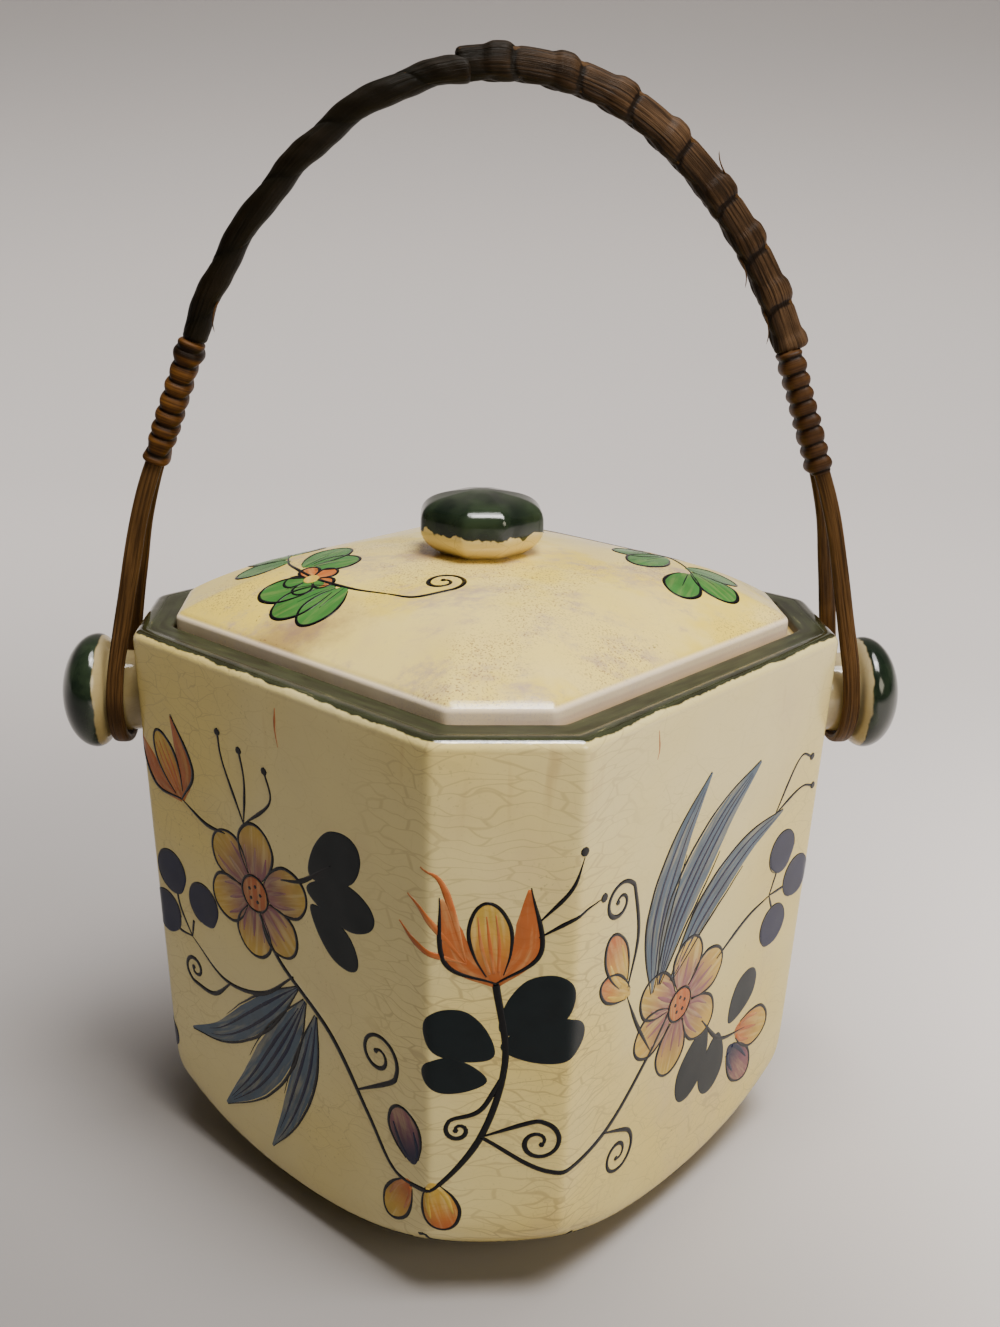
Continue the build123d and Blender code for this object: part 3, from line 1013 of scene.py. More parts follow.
@dataclass(frozen=True)
class Knob:
    """The lid's knob: a neck that swells to a cut-corner belly and closes in a low pyramid."""

    crown: float = 128.6
    height: float = 12.5
    reach: float = 12.3
    half_facet: float = 4.3
    neck: float = 8.3
    belly: float = 4.8
    shoulder: float = 5.9
    fullness: float = 3.9
    push: float = -1.7
    sunk: float = 1.2
    sharpness: float = 40.0
    columns: Columns = Columns(5, 8, 4)
    finish: DippedFinish = DippedFinish("green_glaze_of_knob", 2, 0.1333, 0.006)

    def skin(self) -> Skin:
        """The knob's closed surface.

        The reach grows from the neck to the belly as a quarter sine to the power 0.8. Above it follows a
        superellipse, reach times cos(a)^(2/n) at a rise of shoulder times sin(a)^(2/n), with a low pyramid
        added.

        Returns:
            The skin.
        """
        step = np.linspace(0, 1, 14)
        swell = self.neck + (self.reach - self.neck) * np.sin(step * HALF_TURN / 2) ** 0.8
        angle = np.radians(np.linspace(8, 88, 20))
        power = 2 / self.fullness
        top = self.reach * np.cos(angle) ** power
        peak = (self.height - self.belly - self.shoulder) * (1 - top / self.reach)
        reach = np.concatenate([[2.0, self.neck], swell, top])
        above = self.belly + self.shoulder * np.sin(angle) ** power + peak
        rise = np.concatenate([[-self.sunk, -self.sunk], self.belly * step, above])
        outline = CutCorner(self.reach, self.half_facet)
        angles = self.columns.angles(outline.corner(rise * 0))
        even = np.zeros((len(rise), 1))
        distance = outline.distance(angles, even, even + self.sharpness, (reach / self.reach)[:, None])
        rings = round_ring(angles, distance, self.crown + rise[:, None], self.push)
        along = run_lengths(np.stack([reach, rise], axis=1))
        return skin_rings(rings, round_lengths(rings[len(swell) + 1]), along)

    def build(self) -> None:
        """Makes the knob in place of its CAD node."""
        make_piece("knob", self.skin(), self.finish.material(), "lid", ["lid_knob"])


@dataclass(frozen=True)
class Lug:
    """A mushroom lug, turned about X and luted onto a cut corner of the jar."""

    side: Side
    reach: float = 69.33
    height: float = 98.2
    neck_root: float = 7.9
    neck: float = 8.5
    neck_length: float = 7.7
    sunk: float = 2.0
    cap: float = 11.7
    flare: float = 2.9
    dome: float = 6.8

    def profile(self) -> Array:
        """Points of the half profile, each a place along X and a radius.

        The neck widens evenly. The cap turns out of it in a quarter ellipse and closes in a second,
        longer one.

        Returns:
            The points.
        """
        wall, root, neck, length = self.reach, self.neck_root, self.neck, self.neck_length
        start, end = wall - self.sunk, wall + length
        points = [(start, 2.0), (start, 7.0), (start + 0.1, root + 1.2), (wall, root + 0.9),
                  (wall + 0.6, root + 0.35), (wall + 1.4, root + 0.1)]
        points += [(wall + s, root + 0.6 * s / length) for s in (2.6, 4.0, 5.4, 6.4)]
        points += [(end - 0.75, neck + 0.02), (end - 0.25, neck + 0.2), (end + 0.05, neck + 0.7)]
        lip, turn = np.radians(np.linspace(155, 92, 9)), np.radians(np.linspace(90, 1.5, 34))
        middle = end + self.flare
        points += list(zip(middle + self.flare * np.cos(lip), neck + (self.cap - neck) * np.sin(lip)))
        points += list(zip(middle + self.dome * np.cos(turn), self.cap * np.sin(turn)))
        return np.array(points)

    def skin(self) -> Skin:
        """The lug's closed surface: the profile turned once about X.

        Returns:
            The skin.
        """
        profile = self.profile()
        angles = full_turn(96)
        x, radius = profile[:, :1] + 0 * angles, profile[:, 1:]
        rings = np.stack([x, radius * np.cos(angles), self.height + radius * np.sin(angles)], axis=-1)
        around = np.linspace(0, FULL_TURN * self.cap, 97)
        return skin_rings(rings, around, run_lengths(profile)).orient(self.side)

    def build(self) -> None:
        """Makes the lug in place of its CAD node."""
        side = self.side.name.lower()
        # The cream under each cap is much darker than the walls' cream.
        dark_lug_cream = CreamGlaze((0.38, 0.31, 0.18), (0.38, 0.29, 0.12), (0.26, 0.19, 0.12), specks=0.6)
        finish = DippedFinish(f"green_glaze_of_{side}_lug", 0, 0.0786, 0.0014, dark_lug_cream)
        material = finish.material()
        make_piece(f"lug_cap_{side}", self.skin(), material, "jar", [f"lug_{side}"])


# ---- painting


class Pigment(Enum):
    """The painter's enamels, each a colour and a load: how fully it hides the glaze."""

    BLACK = (0.005, 0.005, 0.006, 1.0)
    NAVY = (0.006, 0.009, 0.042, 1.0)
    BLUE = (0.024, 0.078, 0.155, 0.93)
    YELLOW = (0.60, 0.36, 0.025, 0.86)
    MAUVE = (0.22, 0.040, 0.095, 0.90)
    RUST = (0.47, 0.085, 0.007, 0.92)
    PINE = (0.005, 0.010, 0.012, 1.0)
    GREEN = (0.028, 0.175, 0.032, 0.97)


def quarter_left(ways: Array) -> Array:
    """Directions of a plane, turned a quarter turn to the left."""
    return np.stack([-ways[..., 1], ways[..., 0]], axis=-1)


def unit(ways: Array) -> Array:
    """Directions, each made one long."""
    return ways / np.linalg.norm(ways, axis=-1, keepdims=True)


def smooth_line(points: Points, step: float, closed: bool = False) -> Array:
    """Smooth line through points of a plane, evenly stepped.

    Each span between two points b and c is the Catmull-Rom cubic of a, b, c and d, where a and d are
    their neighbours. An open line gets a mirrored neighbour at each end.

    Args:
        points: Points that the line passes.
        step: Length of its even steps.
        closed: Whether it returns to its first point.

    Returns:
        Points of the line.
    """
    known = np.array(points, dtype=float)
    if closed:
        known = np.concatenate([known[-1:], known, known[:2]])
    else:
        known = np.concatenate([2 * known[:1] - known[1:2], known, 2 * known[-1:] - known[-2:-1]])
    t = np.linspace(0, 1, 17)[:-1, None, None]
    a, b, c, d = known[:-3], known[1:-2], known[2:-1], known[3:]
    square, cube = 2 * a - 5 * b + 4 * c - d, 3 * b - a - 3 * c + d
    spans = 0.5 * (2 * b + (c - a) * t + square * t ** 2 + cube * t ** 3)
    line = np.concatenate([spans.transpose(1, 0, 2).reshape(-1, 2), known[-2:-1]])
    length = run_lengths(line)
    even = np.linspace(0, length[-1], max(int(length[-1] / step), 6) + 1)
    return np.stack([np.interp(even, length, line[:, k]) for k in (0, 1)], axis=1)


@dataclass(frozen=True)
class Ground:
    """A surface to paint on: a function from two plane coordinates to points, in millimetres."""

    surface: Callable[[Array, Array], Array]
    step: float = 0.05

    def lifted(self, flat: Array, height: Array) -> Array:
        """Points of the surface, raised along its normal.

        The normal is the cross product of the small steps along the two plane coordinates.

        Args:
            flat: Points of the plane.
            height: How far each is raised.

        Returns:
            The raised points.
        """
        first, second = flat[..., 0], flat[..., 1]
        place = self.surface(first, second)
        along = self.surface(first + self.step, second) - place
        up = self.surface(first, second + self.step) - place
        return place + unit(np.cross(along, up)) * height[..., None]


@dataclass
class Brush:
    """A brush that lays enamel on a ground as thin closed skins, sunk into the glaze at their edges."""

    ground: Ground
    seed: int = 3
    boldness: float = 1.55
    step: float = 0.6
    sunk: float = 0.12
    first_layer: float = 0.045
    layer_rise: float = 0.03
    stroke_rise: float = 0.0018
    laid: list[Skin] = field(default_factory=list)

    def __post_init__(self) -> None:
        """Makes the hand's own unevenness."""
        self.hand = np.random.default_rng(self.seed)

    def waver(self, amount: float) -> float:
        """A factor near 1, off by up to an amount either way."""
        return 1 + amount * self.hand.uniform(-1, 1)

    def thickness(self, layer: int) -> float:
        """Height of a layer, with a trace more for every stroke so that no two lie level."""
        return self.first_layer + self.layer_rise * layer + self.stroke_rise * (len(self.laid) % 9)

    def keep(self, rings: Array, sheet: Array, paint: Array) -> None:
        """Keeps a skin over rings, with sheet coordinates for every point instead of every ring.

        Args:
            rings: Points, as rings x points x 3.
            sheet: Sheet coordinates, as rings x points x 2.
            paint: Colour and load, as rings x points x 4.
        """
        skin = skin_rings(rings, np.arange(rings.shape[1] + 1.0), np.arange(rings.shape[0] * 1.0), paint)
        ends = np.stack([sheet[0].mean(axis=0), sheet[-1].mean(axis=0)])
        spread = np.concatenate([sheet.reshape(-1, 2), ends])
        skin.quad_sheet, skin.triangle_sheet = spread[skin.quads], spread[skin.triangles]
        self.laid.append(skin)

    def line(self, points: Points, width: float, pigment: Pigment = Pigment.BLACK,
             ends: Sequence[float] = (0.35, 1.0, 0.8, 0.15), layer: int = 2) -> None:
        """Lays one stroke along a smooth line.

        Across the stroke, at a share t from -1 to 1, the enamel is thick times (1 - t^4).

        Args:
            points: Points of the plane that the stroke passes.
            width: Its full width.
            pigment: Its paint.
            ends: Shares of the width, evenly spread from start to end.
            layer: Layer that it lies in.
        """
        route = smooth_line(points, self.step)
        width = width * self.boldness if pigment is Pigment.BLACK else width
        length = run_lengths(route)
        sideways = quarter_left(unit(np.gradient(route, axis=0)))
        half = width / 2 * np.interp(length / length[-1], np.linspace(0, 1, len(ends)), ends)
        rows = max(int(width / 0.6), 3)
        turn = HALF_TURN * np.concatenate([np.linspace(0, 1, rows + 1), [1.25, 1.5, 1.75]])
        across, rise = np.cos(turn), np.sin(turn)
        top = self.thickness(layer) * (1 - across ** 4) - 0.03 * across ** 4
        lift = np.where(rise > -1e-9, top, self.sunk * rise)
        flat = route[:, None] + sideways[:, None] * (half[:, None] * across)[..., None]
        rings = self.ground.lifted(flat, np.tile(lift, (len(route), 1)))
        sheet = np.stack([np.tile(length[:, None], (1, len(turn))), half[:, None] * across], axis=-1)
        sheet = sheet + self.hand.uniform(0, 90, 2)
        self.keep(rings, sheet, np.tile(np.array(pigment.value), (*rings.shape[:2], 1)))

    def patch(self, outline: Points, pigment: Pigment, second: Optional[Pigment] = None,
              toward: Point = (0.0, 1.0), layer: int = 0) -> None:
        """Fills a smooth closed outline.

        Rows of the fill are the outline drawn towards its middle. The colour turns smoothly from the
        first paint to the second along the toward direction.

        Args:
            outline: Points of the plane round the patch.
            pigment: Its paint.
            second: Paint that it turns to.
            toward: Direction in which it turns, along which its brush streaks lie.
            layer: Layer that it lies in.
        """
        edge = smooth_line(outline, self.step, closed=True)[:-1]
        area = np.sum(edge[:, 0] * np.roll(edge[:, 1], -1) - np.roll(edge[:, 0], -1) * edge[:, 1])
        edge = edge if area > 0 else edge[::-1]
        middle = edge.mean(axis=0)
        reach = np.linalg.norm(edge - middle, axis=1).max()
        thick = self.thickness(layer)
        inner = np.linspace(0.90, 0.08, max(int(reach / 0.7), 4))
        share = np.concatenate([[0.3, 0.97, 1.0, 0.985, 0.95], inner])
        rim = [-self.sunk, -self.sunk, -0.03, 0.5 * thick, 0.9 * thick]
        lift = np.concatenate([rim, np.full(len(inner), thick)])
        flat = middle + (edge - middle) * share[:, None, None]
        rings = self.ground.lifted(flat, np.tile(lift[:, None], (1, len(edge))))
        way = unit(np.array(toward))
        along, across = (flat - middle) @ way, (flat - middle) @ quarter_left(way)
        blend = np.clip(0.5 + 0.55 * along / np.abs(along).max(), 0, 1)[..., None]
        blend = blend * blend * (3 - 2 * blend)
        paint = np.array(pigment.value) * (1 - blend) + np.array((second or pigment).value) * blend
        sheet = np.stack([along, across], axis=-1) + self.hand.uniform(0, 90, 2)
        self.keep(rings, sheet, paint)

    @staticmethod
    def axes(foot: Point, tip: Point) -> tuple[Array, Array, Array]:
        """A shape's foot, the way from there to its tip, and the unit direction to the left of that way.

        Args:
            foot: Its foot.
            tip: Its tip.

        Returns:
            The three.
        """
        start = np.array(foot, dtype=float)
        axis = np.array(tip, dtype=float) - start
        return start, axis, quarter_left(unit(axis))

    def egg(self, foot: Point, tip: Point, width: float) -> Array:
        """Outline of an egg, widest past its middle.

        Args:
            foot: Its narrow end.
            tip: Its broad end.
            width: Its full width.

        Returns:
            Ten points round it, the first at the foot.
        """
        foot, axis, side = self.axes(foot, tip)
        shares = np.array([0.0, 0.10, 0.36, 0.66, 0.91, 1.0, 0.91, 0.66, 0.36, 0.10])
        spread = np.array([0.0, 0.42, 0.86, 1.0, 0.60, 0.0, -0.60, -1.0, -0.86, -0.42])
        return foot + shares[:, None] * axis + spread[:, None] * (side * width / 2)

    def petal(self, foot: Point, tip: Point, width: float, pigment: Pigment, second: Optional[Pigment] = None,
              strokes: int = 3) -> None:
        """A petal: a filled egg, strokes of the second paint from its foot, and a black line round its tip.

        Args:
            foot: Its foot.
            tip: Its tip.
            width: Its full width.
            pigment: Paint at its tip.
            second: Paint at its foot and of its strokes, or none for a plain petal.
            strokes: Number of strokes.
        """
        outline = self.egg(foot, tip, width)
        foot, axis, side = self.axes(foot, tip)
        self.patch(outline, pigment, second, tuple(-axis))
        for spot in np.linspace(-0.3, 0.3, strokes if second else 0):
            reach = 0.62 + 0.12 * self.hand.uniform(-1, 1)
            route = [foot + axis * share + side * width * spot * spread
                     for share, spread in ((0.10, 0.4), (reach * 0.5, 0.9), (reach, 1.05))]
            self.line(route, 1.5, second, (0.7, 1.0, 0.9, 0.3), 1)
        self.line(outline[1:10], 0.62, ends=(0.2, 0.9, 1.0, 0.7, 1.0, 0.3))

    def blossom(self, centre: Point, radius: float, turn: float, petals: int, pigment: Pigment,
                second: Pigment) -> None:
        """A blossom: petals spread evenly round a rust heart ringed with dots.

        Args:
            centre: Its middle.
            radius: Its radius.
            turn: Direction of its first petal, in degrees.
            petals: Number of petals.
            pigment: Paint at their tips.
            second: Paint at their feet.
        """
        middle = np.array(centre, dtype=float)
        radius = radius * 1.12
        for k in range(petals):
            angle = math.radians(turn) + FULL_TURN * (k + 0.12 * self.hand.uniform(-1, 1)) / petals
            way = np.array([math.cos(angle), math.sin(angle)])
            tip = middle + way * (radius * self.waver(0.08))
            self.petal(middle + way * radius * 0.16, tip, radius * 3.9 / petals, pigment, second)
        self.dot(middle, radius * 0.24, Pigment.RUST, 3)
        self.line(self.circle(middle, radius * 0.25, 1.06), 0.5, ends=(0.6, 1.0, 0.6), layer=4)
        for angle in np.radians(turn + 72 * np.arange(5)):
            self.dot(middle + radius * 0.11 * np.array([math.cos(angle), math.sin(angle)]), 0.45, layer=4)

    @staticmethod
    def circle(centre: Array, radius: float, turns: float = 1.0) -> Array:
        """Points of a circle, over a number of turns."""
        angle = FULL_TURN * np.linspace(0, turns, 13)
        return centre + radius * np.stack([np.cos(angle), np.sin(angle)], axis=1)

    def dot(self, centre: Point, radius: float, pigment: Pigment = Pigment.BLACK, layer: int = 1) -> None:
        """A round dab of paint, a little out of true."""
        ring = self.circle(np.zeros(2), radius)[:-1] * (1 + 0.06 * self.hand.uniform(-1, 1, (12, 1)))
        self.patch(np.array(centre, dtype=float) + ring, pigment, layer=layer)

    def berry(self, centre: Point, radius: float, stalk: Points) -> None:
        """A navy berry with a black rim, on a thin black stalk.

        Args:
            centre: Its middle.
            radius: Its radius.
            stalk: Points that its stalk passes.
        """
        radius = radius * 1.4
        self.dot(centre, radius, Pigment.NAVY)
        self.line(self.circle(np.array(centre, dtype=float), radius * 0.98, 0.7), 0.5, ends=(0.2, 1.0, 0.2))
        self.line(stalk, 0.55, ends=(0.5, 1.0, 0.9), layer=1)

    def tulip(self, foot: Point, tip: Point, width: float) -> None:
        """A tulip in rust: two side petals and a pale middle one with rust stripes.

        Args:
            foot: Its foot.
            tip: Its tip.
            width: Its full width.
        """
        foot, axis, side = self.axes(foot, tip)
        side, crown = side * width, foot + axis * 0.92
        for way in (-1, 1):
            bulge = [foot, foot + axis * 0.35 + side * 0.42 * way, foot + axis * 1.02 + side * 0.56 * way]
            self.line(bulge, width * 0.44, Pigment.RUST, (0.35, 1.0, 0.85, 0.12), 0)
            edge = [foot, foot + axis * 0.3 + side * 0.62 * way, foot + axis * 1.04 + side * 0.58 * way]
            self.line(edge, 0.65, ends=(0.5, 1.0, 1.0, 0.2), layer=3)
        self.patch(self.egg(foot, crown, width * 0.52), Pigment.YELLOW, Pigment.RUST, tuple(-axis), 1)
        for spot in (-0.10, 0.02, 0.13):
            start, middle, end = (foot + axis * share for share in (0.12, 0.45, 0.78))
            stripe = [start + side * spot * 0.5, middle + side * spot, end + side * spot]
            self.line(stripe, 1.1, Pigment.RUST, (0.8, 1.0, 0.3))
        self.line(self.egg(foot, crown, width * 0.54)[1:10], 0.6, ends=(0.3, 1.0, 0.8, 1.0, 0.3), layer=3)

    def blade(self, points: Points, width: float, veins: int = 2) -> None:
        """A long blue blade: a broad stroke with darker veins and a black line along each side.

        Args:
            points: Points that its middle passes.
            width: Its full width.
            veins: Number of veins.
        """
        width = width * 1.6
        profile = (0.10, 0.62, 0.95, 1.0, 0.82, 0.5, 0.08)
        self.line(points, width, Pigment.BLUE, profile, 0)
        route = smooth_line(points, 3.0)
        share = np.linspace(0, 1, len(route))
        half = width / 2 * np.interp(share, np.linspace(0, 1, len(profile)), profile)
        side = quarter_left(unit(np.gradient(route, axis=0))) * half[:, None]
        for spot in np.linspace(-0.35, 0.35, veins):
            first, last = self.hand.integers(0, 2), len(route) - self.hand.integers(1, 3)
            self.line((route + side * spot)[first:last], 1.4, Pigment.NAVY, (0.2, 1.0, 0.7, 0.1), 1)
        self.line(route + side, 0.6, ends=(0.4, 1.0, 0.7, 0.2))
        self.line((route - side)[: -len(route) // 3], 0.5, ends=(0.4, 0.9, 0.1))

    def leaf(self, foot: Point, tip: Point, width: float, bend: float = 0.0) -> None:
        """A leaf: a dark full egg, or if it is bent, a green stroke with a midrib and a black edge.

        Args:
            foot: Its foot.
            tip: Its tip.
            width: Its full width.
            bend: How far its middle lies to the left, as a share of its length.
        """
        if not bend:
            self.patch(self.egg(foot, tip, width * 1.45), Pigment.PINE)
            return
        foot, axis, left = self.axes(foot, tip)
        side, width = quarter_left(axis) * bend, width * 1.7
        middle, tip = foot + axis * 0.5 + side, foot + axis
        self.line([foot, middle, tip], width, Pigment.GREEN, (0.15, 0.85, 1.0, 0.92, 0.6, 0.05), 0)
        self.line([foot, foot + axis * 0.4 + side * 0.8, foot + axis * 0.8 + side * 0.6], 0.45, layer=1)
        outer = middle + left * math.copysign(width / 2, bend)
        self.line([foot, outer, tip], 0.45, ends=(0.3, 1.0, 0.3), layer=1)

    def tendril(self, points: Points, radius: float, turns: float, width: float = 0.75) -> None:
        """A tendril: a line that runs on into a spiral which shrinks evenly with its angle.

        Args:
            points: Points before the spiral, the last being where it starts.
            radius: Its first radius.
            turns: Turns of the spiral, counterclockwise if positive.
            width: Width of the stroke.
        """
        known = np.array(points, dtype=float)
        heading = unit(known[-1] - known[-2])
        centre = known[-1] + radius * math.copysign(1.0, turns) * quarter_left(heading)
        first = math.atan2(*(known[-1] - centre)[::-1])
        share = np.linspace(0, 1, int(abs(turns) * 10) + 3)[1:, None]
        angle = first + FULL_TURN * turns * share
        curl = centre + radius * (1 - 0.82 * share) * np.concatenate([np.cos(angle), np.sin(angle)], axis=1)
        self.line(np.concatenate([known, curl]), width, ends=(0.4, 1.0, 1.0, 0.8, 1.0, 0.6))
        self.dot(curl[-1], width * 0.75, layer=3)

    def stamens(self, foot: Point, lead: Point, tips: Points) -> None:
        """Thin stamens with dots at their tips.

        Args:
            foot: Where they all start.
            lead: Way from each tip to the point that its stamen passes before.
            tips: Their tips.
        """
        for tip in tips:
            self.line([foot, (tip[0] + lead[0], tip[1] + lead[1]), tip], 0.6, ends=(0.3, 1.0, 0.6, 0.7))
            self.dot(tip, 0.8, layer=3)


@dataclass(frozen=True)
class VinePainting:
    """Painting of the jar: one flowering vine that wanders round each half, the same on both.

    Plane coordinates are the length round the walls from the middle of the front facet, and height.
    """

    jar: JarBody = JarBody()
    half_round: float = 205.85
    finish: EnamelFinish = EnamelFinish()

    def shifted(self, shift: float) -> Ground:
        """The jar's walls as a ground, moved round by a length."""
        return Ground(lambda around, height: self.jar.wall_point(around + shift, height))

    @staticmethod
    def left(brush: Brush) -> None:
        """The left face: a yellow blossom over hanging blades, berries and a tulip by the lug.

        Args:
            brush: The brush.
        """
        stem = [(-12, 26), (-21, 26), (-28, 35), (-38, 48), (-52, 58), (-57, 66)]
        brush.line(stem, 0.95, ends=(0.6, 1.0, 0.8))
        brush.line([(-48, 56), (-58, 48), (-70, 46), (-80, 52)], 0.8)
        brush.blade([(-45, 52), (-52, 40), (-62, 26), (-73, 15)], 6.2, 3)
        brush.blade([(-47, 54), (-59, 43), (-72, 33), (-83, 29)], 4.6)
        brush.blade([(-42, 50), (-46, 36), (-52, 22), (-58, 12)], 4.4)
        brush.blossom((-58, 70), 13.5, 80, 6, Pigment.YELLOW, Pigment.MAUVE)
        brush.leaf((-42, 80), (-29, 90), 7.0)
        brush.leaf((-43, 77), (-25, 77), 6.4)
        brush.leaf((-42, 74), (-30, 65), 5.6)
        brush.line([(-50, 76), (-44, 78), (-36, 84)], 0.8)
        brush.berry((-85, 65), 3.4, [(-80, 52), (-83, 57), (-84, 61)])
        brush.berry((-75, 61), 3.4, [(-80, 52), (-79, 56)])
        brush.berry((-88, 55), 3.4, [(-80, 52), (-84, 52), (-87, 54)])
        brush.tulip((-79, 83), (-86, 97), 11.5)
        brush.line([(-66, 80), (-72, 80), (-79, 83)], 0.75)
        brush.stamens((-60, 84), (1, -6), [(-66, 101), (-60, 99), (-53, 97)])
        brush.tendril([(-31, 39), (-22, 45)], 5.4, 1.5)
        brush.tendril([(-68, 46), (-74, 41), (-80, 41)], 3.4, -1.3)

    @staticmethod
    def front(brush: Brush) -> None:
        """The front facet: a tulip over crossing stems, with dark leaves and a mauve bud.

        Args:
            brush: The brush.
        """
        brush.line([(-17, 25), (-11, 27), (-3, 38), (1, 54), (-1, 70)], 1.0, ends=(0.5, 1.0, 0.9, 1.0))
        brush.tulip((-1, 70), (-3, 87), 13.0)
        brush.leaf((0, 60), (12, 70), 7.4)
        brush.leaf((0, 57), (16, 59), 6.6)
        brush.leaf((-1, 55), (-13, 63), 7.0)
        brush.leaf((-2, 50), (-14, 52), 5.2)
        brush.petal((-16, 30), (-20, 41), 8.0, Pigment.MAUVE, Pigment.NAVY, 2)
        brush.petal((-12, 28), (-9, 17), 7.0, Pigment.RUST, Pigment.YELLOW, 2)
        brush.petal((-17, 26), (-23, 15), 6.4, Pigment.YELLOW, Pigment.RUST, 2)
        brush.tendril([(-3, 38), (6, 41)], 4.6, -1.4)
        brush.tendril([(1, 52), (-3, 44), (-8, 42)], 2.6, 1.2)
        for x, y in ((-14, 92), (-17, 86), (-19, 80)):
            brush.line([(-6, 74), (x + 4, y - 3), (x, y)], 1.5, Pigment.RUST, (0.2, 0.9, 1.0, 0.2), 1)
        for stalk in ([(6, 82), (11, 88), (13, 94), (13, 95)], [(6, 79), (13, 83), (18, 84), (19, 84)]):
            brush.line(stalk[:3], 0.6)
            brush.dot(stalk[3], 0.9, layer=3)

    @staticmethod
    def right(brush: Brush) -> None:
        """The right face: a mauve blossom, blades that rise behind it, berries and a small bud.

        Args:
            brush: The brush.
        """
        brush.line([(-3, 38), (10, 30), (24, 32), (36, 42), (44, 52)], 0.95, ends=(0.6, 1.0, 0.8))
        brush.blade([(38, 58), (43, 72), (54, 86), (66, 95)], 6.4, 3)
        brush.blade([(36, 57), (36, 72), (41, 86), (49, 98)], 4.8)
        brush.blade([(42, 57), (51, 68), (64, 77), (77, 81)], 4.6)
        brush.blossom((46, 50), 13.0, 20, 6, Pigment.YELLOW, Pigment.MAUVE)
        brush.line([(55, 42), (63, 34), (73, 32)], 0.8)
        brush.petal((69, 33), (82, 29), 9.0, Pigment.YELLOW, Pigment.RUST)
        brush.petal((67, 30), (76, 19), 7.5, Pigment.MAUVE, Pigment.NAVY, 2)
        brush.leaf((62, 36), (60, 22), 6.4)
        brush.leaf((57, 40), (50, 25), 7.0)
        brush.leaf((66, 36), (74, 46), 6.0)
        brush.line([(58, 55), (68, 60), (76, 62)], 0.75)
        for centre, bend in (((79, 71), (78, 67)), ((86, 63), (82, 62)), ((79, 54), (78, 58))):
            brush.berry(centre, 3.4, [(76, 62), bend])
        for foot, tip, width in (((27, 62), (22, 75), 6.2), ((29, 60), (20, 66), 5.4)):
            brush.petal(foot, tip, width, Pigment.RUST, Pigment.YELLOW, 2)
        brush.line([(37, 44), (32, 52), (28, 60)], 0.8)
        brush.tendril([(24, 32), (31, 29)], 5.0, -1.5)
        brush.tendril([(28, 62), (30, 72), (28, 82)], 4.4, 1.4)
        brush.stamens((74, 81), (-5, 1), [(86, 90), (88, 83)])

    @staticmethod
    def side(brush: Brush) -> None:
        """The facet under a lug: a sprig of leaves with berries and a curl.

        Args:
            brush: The brush.
        """
        brush.line([(103, 18), (101, 34), (104, 52), (102, 66)], 0.85)
        brush.leaf((102, 30), (92, 36), 4.6, 0.14)
        brush.leaf((102, 38), (112, 45), 4.6, -0.14)
        brush.leaf((103, 46), (94, 54), 4.6, 0.14)
        brush.leaf((104, 54), (112, 62), 4.6, -0.14)
        brush.leaf((102, 66), (100, 78), 4.6, 0.10)
        brush.berry((110, 30), 2.8, [(102, 24), (106, 26), (109, 29)])
        brush.berry((113, 24), 2.8, [(102, 24), (107, 23), (112, 24)])
        brush.tendril([(102, 22), (97, 19)], 3.4, -1.4)

    @staticmethod
    def base(brush: Brush) -> None:
        """The uneven dark line along the base, in broken runs, and two rust runs below the rim.

        Args:
            brush: The brush.
        """
        low_front = [(-15, 14.0), (-13.4, 14.5), (-12, 12.6), (-4, 10.2), (5, 9.6), (12, 10.2), (17, 12.5)]
        for points, width, ends in (
            ([(-56, 6.4), (-46, 6.2), (-38, 6.8), (-26, 9.0), (-17, 11.5)], 0.7, (0.1, 0.7, 0.9, 0.5)),
            (low_front, 1.15, (1.0, 0.7, 0.9, 1.0, 0.8, 0.5)),
            ([(18, 11.0), (25, 8.0), (32, 6.6), (42, 6.2), (56, 6.4)], 0.85, (0.9, 0.8, 0.6, 0.1)),
            ([(66, 6.4), (90, 6.0), (110, 6.2), (134, 6.4)], 0.7, (0.1, 0.9, 0.7, 0.1)),
        ):
            brush.line(points, width, Pigment.PINE, ends)
        brush.line([(-49, 110.5), (-49.3, 106.5), (-48.7, 103)], 0.8, Pigment.RUST, (0.2, 1.0, 0.5, 0.1), 0)
        brush.line([(31, 111.5), (31.6, 108), (31.2, 106)], 0.5, Pigment.RUST, (0.2, 1.0, 0.1), 0)

    def build(self) -> None:
        """Paints both halves, as one piece for each face."""
        material = self.finish.material()
        for half, shift in (("front", 0.0), ("back", self.half_round)):
            for face, work in (("left", self.left), ("middle", self.front), ("right", self.right),
                               ("side", self.side), ("base", self.base)):
                brush = Brush(self.shifted(shift))
                work(brush)
                skin = join_skins(brush.laid)
                make_piece(f"painting_{half}_{face}", skin, material, "jar", painted=True)


